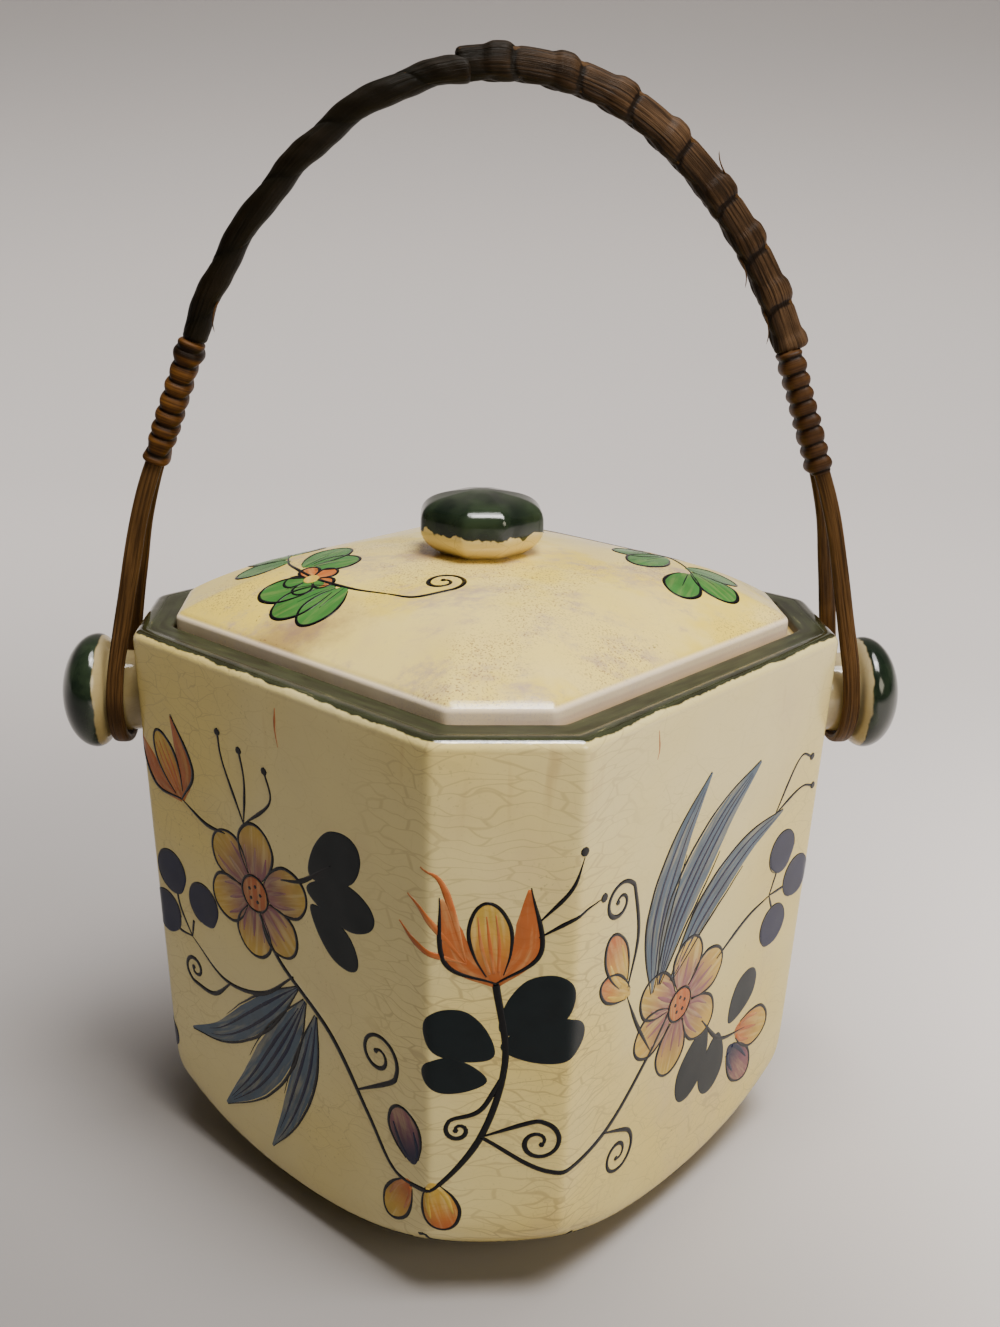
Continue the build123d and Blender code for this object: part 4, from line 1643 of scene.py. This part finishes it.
@dataclass(frozen=True)
class LidPainting:
    """Painting of the lid: a leafy sprig towards each lug, the right one the left one turned round."""

    lid: Lid = Lid()
    finish: EnamelFinish = EnamelFinish()

    @staticmethod
    def sprig(brush: Brush) -> None:
        """One sprig: lobed green leaves along a bent stem, a small rust flower and a curl.

        Args:
            brush: The brush.
        """
        brush.line([(-20, -24), (-27, -19), (-35, -11), (-40, -2), (-41, 8)], 0.75)
        for foot, tip, width in (
            ((-28, -18), (-36, -27), 6.4), ((-30, -17), (-42, -21), 7.0), ((-32, -15), (-45, -13), 6.4),
            ((-36, -7), (-26, -4), 6.2), ((-37, -6), (-29, 5), 6.6), ((-40, 1), (-51, 0), 6.4),
            ((-41, 3), (-48, 12), 6.8), ((-40, 5), (-36, 16), 6.0),
        ):
            brush.petal(foot, tip, width * 1.2, Pigment.GREEN)
            middle = np.array(foot) * 0.4 + np.array(tip) * 0.6
            brush.line([foot, (np.array(foot) + middle) / 2, middle], 0.5, Pigment.PINE, (0.3, 1.0, 0.3), 1)
        flower = np.array([-35.0, -12.0])
        for angle in np.radians([100, 172, 244, 316, 388]):
            way = np.array([math.cos(angle), math.sin(angle)])
            brush.petal(flower + way, flower + way * 5.4, 4.0, Pigment.RUST)
        brush.dot(flower, 1.5, Pigment.YELLOW, 3)
        brush.tendril([(-20, -24), (-15, -27), (-9, -26)], 4.6, 1.45)

    def build(self) -> None:
        """Paints both sprigs, as one piece."""
        skins: list[Skin] = []
        for sign in (1.0, -1.0):
            brush = Brush(Ground(lambda x, y, sign=sign: self.lid.crown_point(x * sign, y * sign)), seed=5)
            self.sprig(brush)
            skins += brush.laid
        material = self.finish.material()
        make_piece("painting_lid", join_skins(skins), material, "lid", painted=True)


# ---- bail


@dataclass(frozen=True)
class Bend:
    """One bend of the bail's line in the XZ plane: centre, radius, and the lean at its two ends."""

    centre: tuple[float, float]
    radius: float
    start: float
    end: float


@dataclass(frozen=True)
class BailLine:
    """The line that the bail's canes follow on the right, from the lug up to the apex.

    Lean is the direction, in degrees from +X, that points out of the bail across the line.
    """

    groove: float = 74.73
    lug_height: float = 98.2
    height: float = 120.5
    foot_bend: float = 60.0
    leg_lean: float = 10.0
    leg_length: float = 22.2
    knee_bend: float = 90.0
    binding_lean: float = 19.8
    binding_length: float = 25.5
    shoulder_lean: float = 50.0

    def swing(self, centre: tuple[float, float], radius: float, lean: float) -> tuple[float, float]:
        """Point at a radius from a centre in the direction of a lean."""
        turn = math.radians(lean)
        return centre[0] + radius * math.cos(turn), centre[1] + radius * math.sin(turn)

    def bends(self) -> list[Bend]:
        """The bends from the lug to the apex: foot, knee, side and top.

        The side and the top bend are as large as makes the line level at its apex, on the middle plane.

        Returns:
            The four bends.
        """
        foot = (self.groove - self.foot_bend, self.lug_height)
        leg_start = self.swing(foot, self.foot_bend, self.leg_lean)
        leg_end = self.swing(leg_start, self.leg_length, self.leg_lean + 90)
        knee = self.swing(leg_end, -self.knee_bend, self.leg_lean)
        bound = self.swing(knee, self.knee_bend, self.binding_lean)
        free = self.swing(bound, self.binding_length, self.binding_lean + 90)
        steep, level = math.radians(self.binding_lean), math.radians(self.shoulder_lean)
        left_to_rise = self.lug_height + self.height - free[1]
        span, rise = math.cos(steep) - math.cos(level), math.sin(level) - math.sin(steep)
        scale = math.cos(level) * rise - span * (1 - math.sin(level))
        top = (free[0] * rise - span * left_to_rise) / scale
        side = (math.cos(level) * left_to_rise - (1 - math.sin(level)) * free[0]) / scale
        top_centre = (0.0, self.lug_height + self.height - top)
        side_centre = self.swing(top_centre, top - side, self.shoulder_lean)
        centres, radii = (foot, knee, side_centre, top_centre), (self.foot_bend, self.knee_bend, side, top)
        leans = (0.0, self.leg_lean, self.binding_lean, self.shoulder_lean, 90.0)
        return [Bend(*bend) for bend in zip(centres, radii, leans, leans[1:])]

    def table(self) -> Array:
        """The line closely measured: length from the lug, x, z and lean, one row per step.

        Returns:
            The rows.
        """
        rows: list[Array] = []
        for bend in self.bends():
            lean = np.linspace(bend.start, bend.end, 60)
            points = arc(bend.centre, bend.radius, bend.start, bend.end, 60)
            if rows and np.linalg.norm(points[0] - rows[-1][-1, :2]) > 0.01:
                share = np.linspace(0, 1, 40)[1:-1, None]
                straight = rows[-1][-1, :2] * (1 - share) + points[0] * share
                rows.append(np.column_stack([straight, np.full(38, bend.start)]))
            rows.append(np.column_stack([points, lean]))
        line = np.concatenate(rows)
        keep = np.concatenate([[True], np.linalg.norm(np.diff(line[:, :2], axis=0), axis=1) > 1e-6])
        line = line[keep]
        return np.column_stack([run_lengths(line[:, :2]), line])

    def whole(self) -> Array:
        """The line from the right lug over the apex to the left lug, as length, x, z and lean.

        Returns:
            The rows.
        """
        right = self.table()
        left = right[::-1][1:].copy()
        total = right[-1, 0]
        left[:, 0] = 2 * total - left[:, 0]
        left[:, 1] = -left[:, 1]
        left[:, 3] = 180 - left[:, 3]
        return np.concatenate([right, left])

    def at(self, length: Array) -> tuple[Array, Array, Array]:
        """Place, outward direction and heading of the line at some lengths from the right lug.

        Args:
            length: Lengths along the line.

        Returns:
            Points of the line in the plane y = 0, unit vectors that point out of the bail, and unit
            vectors that point along the line.
        """
        table = self.whole()
        x, z, lean = (np.interp(length, table[:, 0], table[:, k]) for k in (1, 2, 3))
        turn = np.radians(lean)
        zero = 0 * turn
        place = np.stack([x, zero, z], axis=-1)
        outward = np.stack([np.cos(turn), zero, np.sin(turn)], axis=-1)
        heading = np.stack([-np.sin(turn), zero, np.cos(turn)], axis=-1)
        return place, outward, heading

    @property
    def stations(self) -> tuple[float, float, float]:
        """Lengths from the lug at which the binding starts, the binding ends, and the apex lies.

        Returns:
            The three lengths.
        """
        bends = self.bends()
        table = self.table()
        bound = self.swing(bends[1].centre, bends[1].radius, self.binding_lean)
        start = table[np.argmin(np.hypot(table[:, 1] - bound[0], table[:, 2] - bound[1])), 0]
        return float(start), float(start + self.binding_length), float(table[-1, 0])


def sweep_strip(path: Array, across: Array, half_width: Array, half_depth: Array, power: float = 3.2,
                count: int = 14, tip: float = 0.6) -> Skin:
    """Strip of superellipse section carried along a path, with rounded ends.

    At each point of the path the section lies across its tangent T, its width along W (the across
    direction made square to T) and its depth along T x W. Near each end the section shrinks as a
    quarter ellipse over the length of the tip.

    Args:
        path: Points of the path.
        across: Direction of the strip's width at each point.
        half_width: Half width at each point, or one for all.
        half_depth: Half depth at each point, or one for all.
        power: Squareness of the section.
        count: Points round the section.
        tip: Length over which each end closes.

    Returns:
        The closed strip.
    """
    tangent = np.gradient(path, axis=0)
    tangent /= np.linalg.norm(tangent, axis=1, keepdims=True)
    deep = np.cross(tangent, across)
    deep /= np.linalg.norm(deep, axis=1, keepdims=True)
    wide = np.cross(deep, tangent)
    length = run_lengths(path)
    from_end = np.clip(np.minimum(length, length[-1] - length) / tip, 0.0, 1.0)
    close = np.sqrt(np.clip(1 - (1 - from_end) ** 2, 0.02, 1.0))
    section = np.stack(superellipse(full_turn(count), power), axis=1)
    w = (half_width * close)[:, None] * section[:, 0]
    d = (half_depth * close)[:, None] * section[:, 1]
    rings = path[:, None] + wide[:, None] * w[..., None] + deep[:, None] * d[..., None]
    perimeter = round_lengths(section * [np.mean(half_width), np.mean(half_depth)])
    return skin_rings(rings, perimeter, length, lengthwise=True)


@dataclass(frozen=True)
class Bail:
    """The bail: two canes that loop round the lugs, a lap cane, bindings, and a wrapped arch."""

    line: BailLine = BailLine()
    cane_width: float = 3.6
    cane_thickness: float = 1.8
    loop_radius: float = 9.8
    lap_width: float = 3.0
    lap_thickness: float = 1.7
    lap_overrun: float = 8.0
    binding_turns: int = 9
    knuckles: tuple[float, ...] = (0.8, 11.0, 22.6, 32.7, 46.0, 57.5, 69.0, 80.5)
    twist_pitch: float = 15.3
    twist_start: float = 8.0
    end_sink: float = 0.7
    seed: int = 7

    def cane_path(self) -> tuple[Array, Array]:
        """Path of the right cane, and the direction of its width.

        In the YZ plane the path is a circle round the lug that two straight legs leave at a tangent.
        Each point takes its x and its lean from the bail's line at its height. Above the binding the
        long leg follows the bail's line at an even y.

        Returns:
            Points of the path, and unit vectors along the width.
        """
        line = self.line
        start, end, apex = line.stations
        table = line.table()
        bound_z = np.interp(start, table[:, 0], table[:, 2])
        end_z = np.interp(end, table[:, 0], table[:, 2])
        front, back = -self.cane_thickness * 1.5, self.cane_thickness * 0.5
        contact = []
        for y, turn in ((front, 1), (back, -1)):
            above = bound_z - line.lug_height
            contact.append(math.atan2(above, y) + turn * math.acos(self.loop_radius / math.hypot(y, above)))
        angle = np.linspace(contact[0], contact[1] + FULL_TURN, 70)
        loop = self.loop_radius * np.stack([np.cos(angle), np.sin(angle)], axis=1) + [0.0, line.lug_height]
        share = np.linspace(0, 1, 40)[:, None]
        bound_front, bound_back = np.array([front, bound_z]), np.array([back, bound_z])
        rise = np.linspace(end_z, bound_z, 20)
        legs = [
            np.column_stack([np.full(20, front), rise]), (bound_front * (1 - share) + loop[0] * share)[1:-1],
            loop, (loop[-1] * (1 - share) + bound_back * share)[1:-1],
            np.column_stack([np.full(20, back), rise[::-1]]),
        ]
        flat = np.concatenate(legs)
        x = np.interp(flat[:, 1], table[:, 2], table[:, 1])
        lean = np.radians(np.interp(flat[:, 1], table[:, 2], table[:, 3]))
        path = np.column_stack([x, flat])
        across = np.stack([np.cos(lean), 0 * lean, np.sin(lean)], axis=1)
        lengths = np.arange(end + 1.0, 2 * apex - start - 0.5, 1.0)
        place, outward, _ = line.at(lengths)
        place[:, 1] = back
        return np.concatenate([path, place]), np.concatenate([across, outward])

    def cane(self, side: Side) -> Skin:
        """One main cane, its width a little uneven along its length.

        Args:
            side: Side whose lug it loops round.

        Returns:
            The skin.
        """
        path, across = self.cane_path()
        length = run_lengths(path)
        ripple = 0.95 + 0.03 * np.sin(length * 0.11 + side.value) + 0.015 * np.sin(length * 0.43)
        half = np.full(len(path), self.cane_thickness / 2)
        strip = sweep_strip(path, across, self.cane_width / 2 * ripple, half, 3.0, 18)
        return strip.orient(side)

    @staticmethod
    def hull(out: float, into: float, deep: float, power: float) -> Hull:
        """Superellipse round the stack of canes, with its own reach on the outer and the inner side.

        Args:
            out: Reach on the outer side.
            into: Reach on the inner side.
            deep: Half its depth along Y.
            power: Its squareness.

        Returns:
            A function that gives outward and backward places at an angle.
        """

        def place(angle: Array) -> Array:
            """Outward and backward places at an angle."""
            across, back = superellipse(angle, power)
            return np.stack([np.where(across > 0, out, into) * across, deep * back], axis=1)

        return place

    def sleeve(self, lengths: Array, hull: Hull, swell: Swell, middle: float, wound: bool = False,
               ends: float = 1.2, count: int = 56) -> Skin:
        """Sleeve round the bail's line: its section is a hull, raised by a swelling along its normal.

        The swelling gives a height for every angle and length, and the crest, from 0 in a crease to 1
        on a ridge, that the finish reads. At both ends the sleeve sinks under the canes' surface.

        Args:
            lengths: Lengths along the bail's line.
            hull: Outward and backward places of the hull at an angle.
            swell: Height in millimetres and crest at angles and lengths.
            middle: Place of the hull's middle along Y.
            wound: Whether the grain runs round the sleeve and not along it.
            ends: Length over which each end sinks.
            count: Points round the section.

        Returns:
            The closed sleeve.
        """
        place, outward, _ = self.line.at(lengths)
        angle = full_turn(count)
        flat = hull(angle)
        ahead = hull(angle + 0.01) - hull(angle - 0.01)
        normal = np.stack([ahead[:, 1], -ahead[:, 0]], axis=1)
        normal /= np.linalg.norm(normal, axis=1, keepdims=True)
        height, crest = swell(angle[None], lengths[:, None])
        inside = np.minimum(lengths - lengths[0], lengths[-1] - lengths)
        rise = np.sqrt(np.clip(1 - (1 - np.clip(inside / ends, 0, 1)) ** 2, 0, 1))[:, None]
        height = height * rise - self.end_sink * (1 - rise)
        section = flat[None] + normal[None] * height[..., None]
        rings = place[:, None] + outward[:, None] * section[..., :1]
        rings = rings + np.array([0.0, 1.0, 0.0]) * (section[..., 1:] + middle)
        # The crest goes into the paint attribute's alpha; the finish paints shade into creases and highlights
        # onto ridges from it.
        paint = np.ones((*crest.shape, 4))
        paint[..., 3] = np.clip(crest, 0, 1)
        return skin_rings(rings, round_lengths(flat), lengths, paint, lengthwise=not wound)

    def binding(self, side: Side) -> Skin:
        """Binding of one side: round turns of fine cane, packed into a helix that ends in a knot.

        The swelling is |sin(pi (length / pitch + angle / turn))|^0.7, with the pitch a little uneven.

        Args:
            side: Its side.

        Returns:
            The skin.
        """
        start, end, _ = self.line.stations
        pitch = (end - start) / (self.binding_turns - 0.5)
        rng = np.random.default_rng(self.seed + side.value)
        knots = np.linspace(start - 1, end + 1, 12)
        drift = rng.normal(0, 0.10, 12)
        girth = 1 + rng.normal(0, 0.10, 12)
        slant = 1.0 if side is Side.RIGHT else 1.6

        def swell(angle: Array, length: Array) -> tuple[Array, Array]:
            """Height and crest of the turns."""
            turn = length / pitch + np.interp(length, knots, drift) + slant * 0.5 * np.sin(angle) / HALF_TURN
            bead = np.abs(np.sin(HALF_TURN * turn)) ** 0.7
            knot = np.exp(-(((length - end + 2.6) / 1.7) ** 2)) * (0.42 if side is Side.LEFT else 0.10)
            return 0.06 + 0.72 * bead * np.interp(length, knots, girth) + knot, bead - 1.8 * knot

        reach, deep = self.cane_width / 2 + 0.05, self.cane_thickness * 1.5 + 0.05
        hull, lengths = self.hull(reach, reach, deep, 3.2), np.arange(start, end, 0.22)
        return self.sleeve(lengths, hull, swell, -self.cane_thickness / 2, True, 0.9).orient(side)

    def lap(self) -> Skin:
        """Lap cane along the outer side of the right half of the arch.

        Returns:
            The skin.
        """
        _, end, apex = self.line.stations
        lengths = np.arange(end + 0.2, apex + self.lap_overrun, 0.8)
        place, outward, _ = self.line.at(lengths)
        path = place + outward * (self.cane_width / 2 + 0.1 + self.lap_thickness / 2)
        across = np.tile([0.0, 1.0, 0.0], (len(path), 1))
        half = np.full(len(path), self.lap_width / 2)
        return sweep_strip(path, across, half, np.full(len(path), self.lap_thickness / 2), 2.6, 16)

    def knuckle_wrap(self) -> Skin:
        """Wrapping of the right half: lengthwise cane, crossed by a strand in raised knuckles.

        Each knuckle is exp(-(d / 2)^4) of the length d from its own place, which slants with the angle,
        and has a narrow crease below it. Small scallops run along the inner side.

        Returns:
            The skin.
        """
        _, end, apex = self.line.stations
        places = [end + k for k in self.knuckles if end + k < apex + self.lap_overrun - 3]

        def swell(angle: Array, length: Array) -> tuple[Array, Array]:
            """Height and crest of the grain, the knuckles and the scallops."""
            around = np.mod(angle + HALF_TURN, FULL_TURN) - HALF_TURN
            outer = 0.5 + 0.5 * np.tanh(2.2 * (np.cos(around) + 0.35))
            height = 0.16 + 0.05 * np.cos(9 * around) + 0 * length
            # The crest is low on the inner side and high on the outer knuckles, so the finish paints shade
            # inside and highlights outside.
            crest = 0.16 + 0.44 * outer + 0.08 * np.cos(9 * around) + 0 * length
            for k, place in enumerate(places):
                apart = length - place - 0.75 * np.sin(around) * (-1) ** k * 0.6 - 0.5 * around * (1 - outer)
                long = 2.0 + 0.2 * math.sin(3.0 * k)
                height = height + (0.16 + 0.50 * outer) * np.exp(-((apart / long) ** 4))
                height = height - 0.26 * np.exp(-(((apart + 2.75) / 0.55) ** 2))
                crest = crest + 0.22 * outer * np.exp(-((apart / 2.0) ** 4))
                crest = crest - 0.7 * np.exp(-(((apart + 2.7) / 0.5) ** 2))
            scallop = np.abs(np.sin(HALF_TURN * (length / 5.6 + 0.3 * around)))
            return height + 0.30 * (1 - outer) * scallop, crest

        hull = self.hull(self.cane_width / 2 + self.lap_thickness + 0.10, self.cane_width / 2 + 0.2,
                         self.cane_thickness + 0.2, 2.5)
        return self.sleeve(np.arange(end - 0.6, apex + self.lap_overrun, 0.3), hull, swell, 0.0)

    def twist_wrap(self) -> Skin:
        """Wrapping of the left half: one broad, smooth strand that bulges on alternate sides.

        The swelling is |sin(pi (length / pitch - angle / turn))|^0.8, with a faint lip where turns meet.

        Returns:
            The skin.
        """
        _, end, apex = self.line.stations
        last = 2 * apex - end + 0.6

        def swell(angle: Array, length: Array) -> tuple[Array, Array]:
            """Height and crest of the strand."""
            turn = (last - length - self.twist_start) / self.twist_pitch + angle / FULL_TURN + 0.5
            turn = turn + 0.05 * np.sin(length * 0.21)
            lip = np.exp(-((np.mod(turn, 1.0) / 0.07) ** 2))
            split = 0.05 * np.cos(4 * HALF_TURN * turn * 1.5)
            ridge = np.abs(np.sin(HALF_TURN * turn)) ** 0.75
            return 0.76 * ridge + 0.10 * lip + split, ridge

        reach = self.cane_width / 2 + 0.12
        hull = self.hull(reach, reach, self.cane_thickness + 0.12, 2.4)
        return self.sleeve(np.arange(apex + self.lap_overrun - 3.0, last, 0.35), hull, swell, 0.0)

    def stray(self) -> Skin:
        """A few stray fibres that stand off the wrapping.

        Returns:
            The skin.
        """
        _, end, apex = self.line.stations
        rng = np.random.default_rng(self.seed)
        strands = []
        share = np.linspace(0, 1, 12)[:, None]
        for length, side, heading in ((end + 20.5, -2.3, -1.0), (end + 9.0, -2.3, -1.0),
                                      (2 * apex - end - 9.0, -2.0, 1.0), (end + 34.0, 3.7, 1.0)):
            place, outward, along = (v[0] for v in self.line.at(np.array([length])))
            start = place + outward * side + np.array([0.0, -1.0, 0.0])
            reach = 4.0 + 2.5 * rng.random()
            stand_off = outward * math.copysign(1.0, side) * (0.2 + 1.5 * share ** 2) * share
            path = start + along * heading * reach * share + stand_off
            path = path + np.array([0.0, -0.8, 0.0]) * np.sin(HALF_TURN * share)
            half = 0.20 * (1 - 0.6 * share[:, 0])
            strands.append(sweep_strip(path, np.tile(outward, (12, 1)), half, half, 2.0, 6, 0.3))
        return join_skins(strands)

    def build(self) -> None:
        """Makes all pieces of the bail in place of their CAD nodes."""
        cane = CaneFinish("cane", (0.13, 0.064, 0.020), (0.088, 0.042, 0.0125), (0.034, 0.016, 0.005))
        pale = CaneFinish("binding_cane_pale", (0.215, 0.088, 0.017), (0.105, 0.041, 0.008),
                          (0.034, 0.014, 0.004), 0.25, 0.3, True)
        dark = CaneFinish("binding_cane_dark", (0.088, 0.039, 0.0125), (0.042, 0.0180, 0.0058),
                          (0.028, 0.012, 0.004), 0.0, 0.3, True)
        wrap = CaneFinish("wrap_cane", (0.150, 0.083, 0.041), (0.043, 0.0215, 0.0090),
                          (0.015, 0.0072, 0.0026), 1.0, 1.0, True)
        cane, pale, dark, wrap = (finish.material() for finish in (cane, pale, dark, wrap))
        bound = {Side.LEFT: pale, Side.RIGHT: dark}
        for side in Side:
            name = side.name.lower()
            make_piece(f"cane_{name}", self.cane(side), cane, "bail", [f"bail_cane_{name}"])
            make_piece(f"bound_{name}", self.binding(side), bound[side], "bail",
                       [f"binding_{name}"], True)
        make_piece("lap_cane", self.lap(), cane, "bail", ["bail_lap_cane"])
        wrapping = join_skins([self.knuckle_wrap(), self.twist_wrap()])
        make_piece("wrapping", wrapping, wrap, "bail", ["grip_wrap"], True)
        make_piece("stray_fibres", self.stray(), cane, "bail")


# ---- studio


@dataclass(frozen=True)
class Studio:
    """Pale floor that sweeps up into a backdrop, with painted shadow and light on it, soft lights and the
    camera.
    """

    floor_colour: Colour = (0.72, 0.675, 0.66)

    def floor(self) -> None:
        """A pale floor that turns up in a quarter circle behind the jar, with a painted shadow to the front
        and left, a painted pool of light to the right, and painted shade up the backdrop.
        """
        rise = arc((0.7, 0.9), 0.9, 272, 360, 30)
        profile = [(-14.0, 0.0), (0.0, 0.0), (0.7, 0.0), *rise.tolist(), (1.6, 4.0)]
        points = [(x, y, z) for y, z in profile for x in (-14.0, 14.0)]
        faces = [(2 * k, 2 * k + 1, 2 * k + 3, 2 * k + 2) for k in range(len(profile) - 1)]
        mesh = bpy.data.meshes.new("studio_floor")
        mesh.from_pydata(points, [], faces)
        mesh.polygons.foreach_set("use_smooth", np.ones(len(faces), dtype=bool))
        floor = add_object("studio_floor", mesh)
        recipe = Recipe("floor_with_painted_light")
        # Floor tones: plain, painted shadow, painted light, painted shade of the backdrop.
        pale, painted_shadow_tone, painted_light_tone, backdrop_painted_shade_tone = (
            tuple(c * shade for c in self.floor_colour) for shade in (0.97, 0.30, 1.28, 0.45)
        )
        clouds = recipe.noise(recipe.place(), 3.0)
        sideways, depth, height = recipe.split(recipe.place())
        tone = recipe.mix(clouds, pale, self.floor_colour)
        # Painted shadow: darker towards the front and the left of the jar.
        near = depth.below(-0.20, 0.60) * (0.10 + 0.90 * sideways.below(-0.14, 0.42))
        tone = recipe.mix(near, tone, painted_shadow_tone)
        # Painted pool of light on the floor to the right of the jar.
        painted_light_pool = sideways.above(0.02, 0.22) * depth.below(-0.02, 0.34)
        tone = recipe.mix(painted_light_pool, tone, painted_light_tone)
        # Painted shade: the backdrop darkens as it rises.
        tone = recipe.mix(height.above(0.08, 0.45) * 0.72, tone, backdrop_painted_shade_tone)
        mesh.materials.append(recipe.finish(tone, 0.8))

    def light(self, name: str, kind: str, place: Point, target: Point, power: float, colour: Colour,
              **shape: Any) -> None:
        """A soft light that faces a target.

        Args:
            name: Its name.
            kind: AREA or SUN.
            place: Where it stands.
            target: Point that it faces.
            power: Its power in watts, or a sun's strength.
            colour: Its colour.
            shape: Its own settings, such as a size.
        """
        data = bpy.data.lights.new(name, kind)
        data.energy, data.color = power, colour
        for key, value in shape.items():
            setattr(data, key, value)
        forward = np.array(target, dtype=float) - np.array(place, dtype=float)
        add_object(name, data).matrix_world = self.facing(place, forward, (0.0, 1.0, 0.0))

    def room(self) -> None:
        """A dim room that lights little, seen directly as a pale wall."""
        world = bpy.data.worlds.new("studio")
        world.use_nodes = True
        tree = world.node_tree
        dim, pale = tree.nodes["Background"], tree.nodes.new("ShaderNodeBackground")
        blend, rays = tree.nodes.new("ShaderNodeMixShader"), tree.nodes.new("ShaderNodeLightPath")
        for shader, colour, strength in ((dim, (0.80, 0.79, 0.79), 0.04), (pale, (0.80, 0.78, 0.77), 0.70)):
            shader.inputs[0].default_value, shader.inputs[1].default_value = (*colour, 1.0), strength
        for k, output in enumerate((rays.outputs["Is Camera Ray"], dim.outputs[0], pale.outputs[0])):
            tree.links.new(output, blend.inputs[k])
        tree.links.new(blend.outputs[0], tree.nodes["World Output"].inputs[0])
        bpy.context.scene.world = world

    @staticmethod
    def facing(place: Point, forward: Array, up: Point) -> Matrix:
        """Matrix of an object at a place whose -Z looks forward, with its +Y near an up direction.

        Args:
            place: Where the object stands.
            forward: Where it looks.
            up: Direction that its top is nearest to.

        Returns:
            The matrix.
        """
        back = unit(-forward)
        right = unit(np.cross(up, back))
        columns = zip(right, np.cross(back, right), back, place)
        return Matrix([*columns, (0.0, 0.0, 0.0, 1.0)])

    def camera(self) -> None:
        """A camera in front of the jar, looking slightly down, with a small roll."""
        data = bpy.data.cameras.new("camera")
        data.lens, data.sensor_width = 37.79, 36.0
        data.clip_start, data.clip_end = 0.01, 50.0
        pitch, yaw, roll = (math.radians(v) for v in (18.78, 3.61, 1.38))
        level = math.cos(pitch)
        forward = np.array([level * math.sin(yaw), level * math.cos(yaw), -math.sin(pitch)])
        right = np.array([math.cos(yaw), -math.sin(yaw), 0.0])
        up = np.cross(right, forward)
        tilted = up * math.cos(roll) - right * math.sin(roll)
        camera = add_object("camera", data)
        camera.matrix_world = self.facing((-0.01459, -0.27401, 0.19756), forward, tilted)
        bpy.context.scene.camera = camera

    def build(self) -> None:
        """Makes the floor, the lights and the camera."""
        self.floor()
        self.camera()
        self.room()
        middle = (0.0, 0.0, 0.08)
        self.light("overhead", "AREA", (0.28, -0.32, 1.28), middle, 17.0, (1.0, 0.97, 0.93),
                   shape="RECTANGLE", size=0.60, size_y=0.42)
        self.light("skylight", "SUN", (0.0, 0.0, 2.0), (-0.12, 0.05, 1.0), 2.3, (1.0, 0.975, 0.945),
                   angle=math.radians(28))
        self.light("front_right", "AREA", (0.80, -1.05, 0.80), middle, 6.8, (1.0, 0.92, 0.72),
                   shape="RECTANGLE", size=0.6, size_y=0.6)


def main() -> None:
    """Builds the jar, its lid and its bail in order, and the studio round them."""
    logging.basicConfig(level=logging.INFO, format="%(message)s")
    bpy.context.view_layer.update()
    JarBody().build()
    Lid().build()
    Knob().build()
    for side in Side:
        Lug(side).build()
    VinePainting().build()
    LidPainting().build()
    Bail().build()
    Studio().build()


if __name__ == "__main__":
    main()
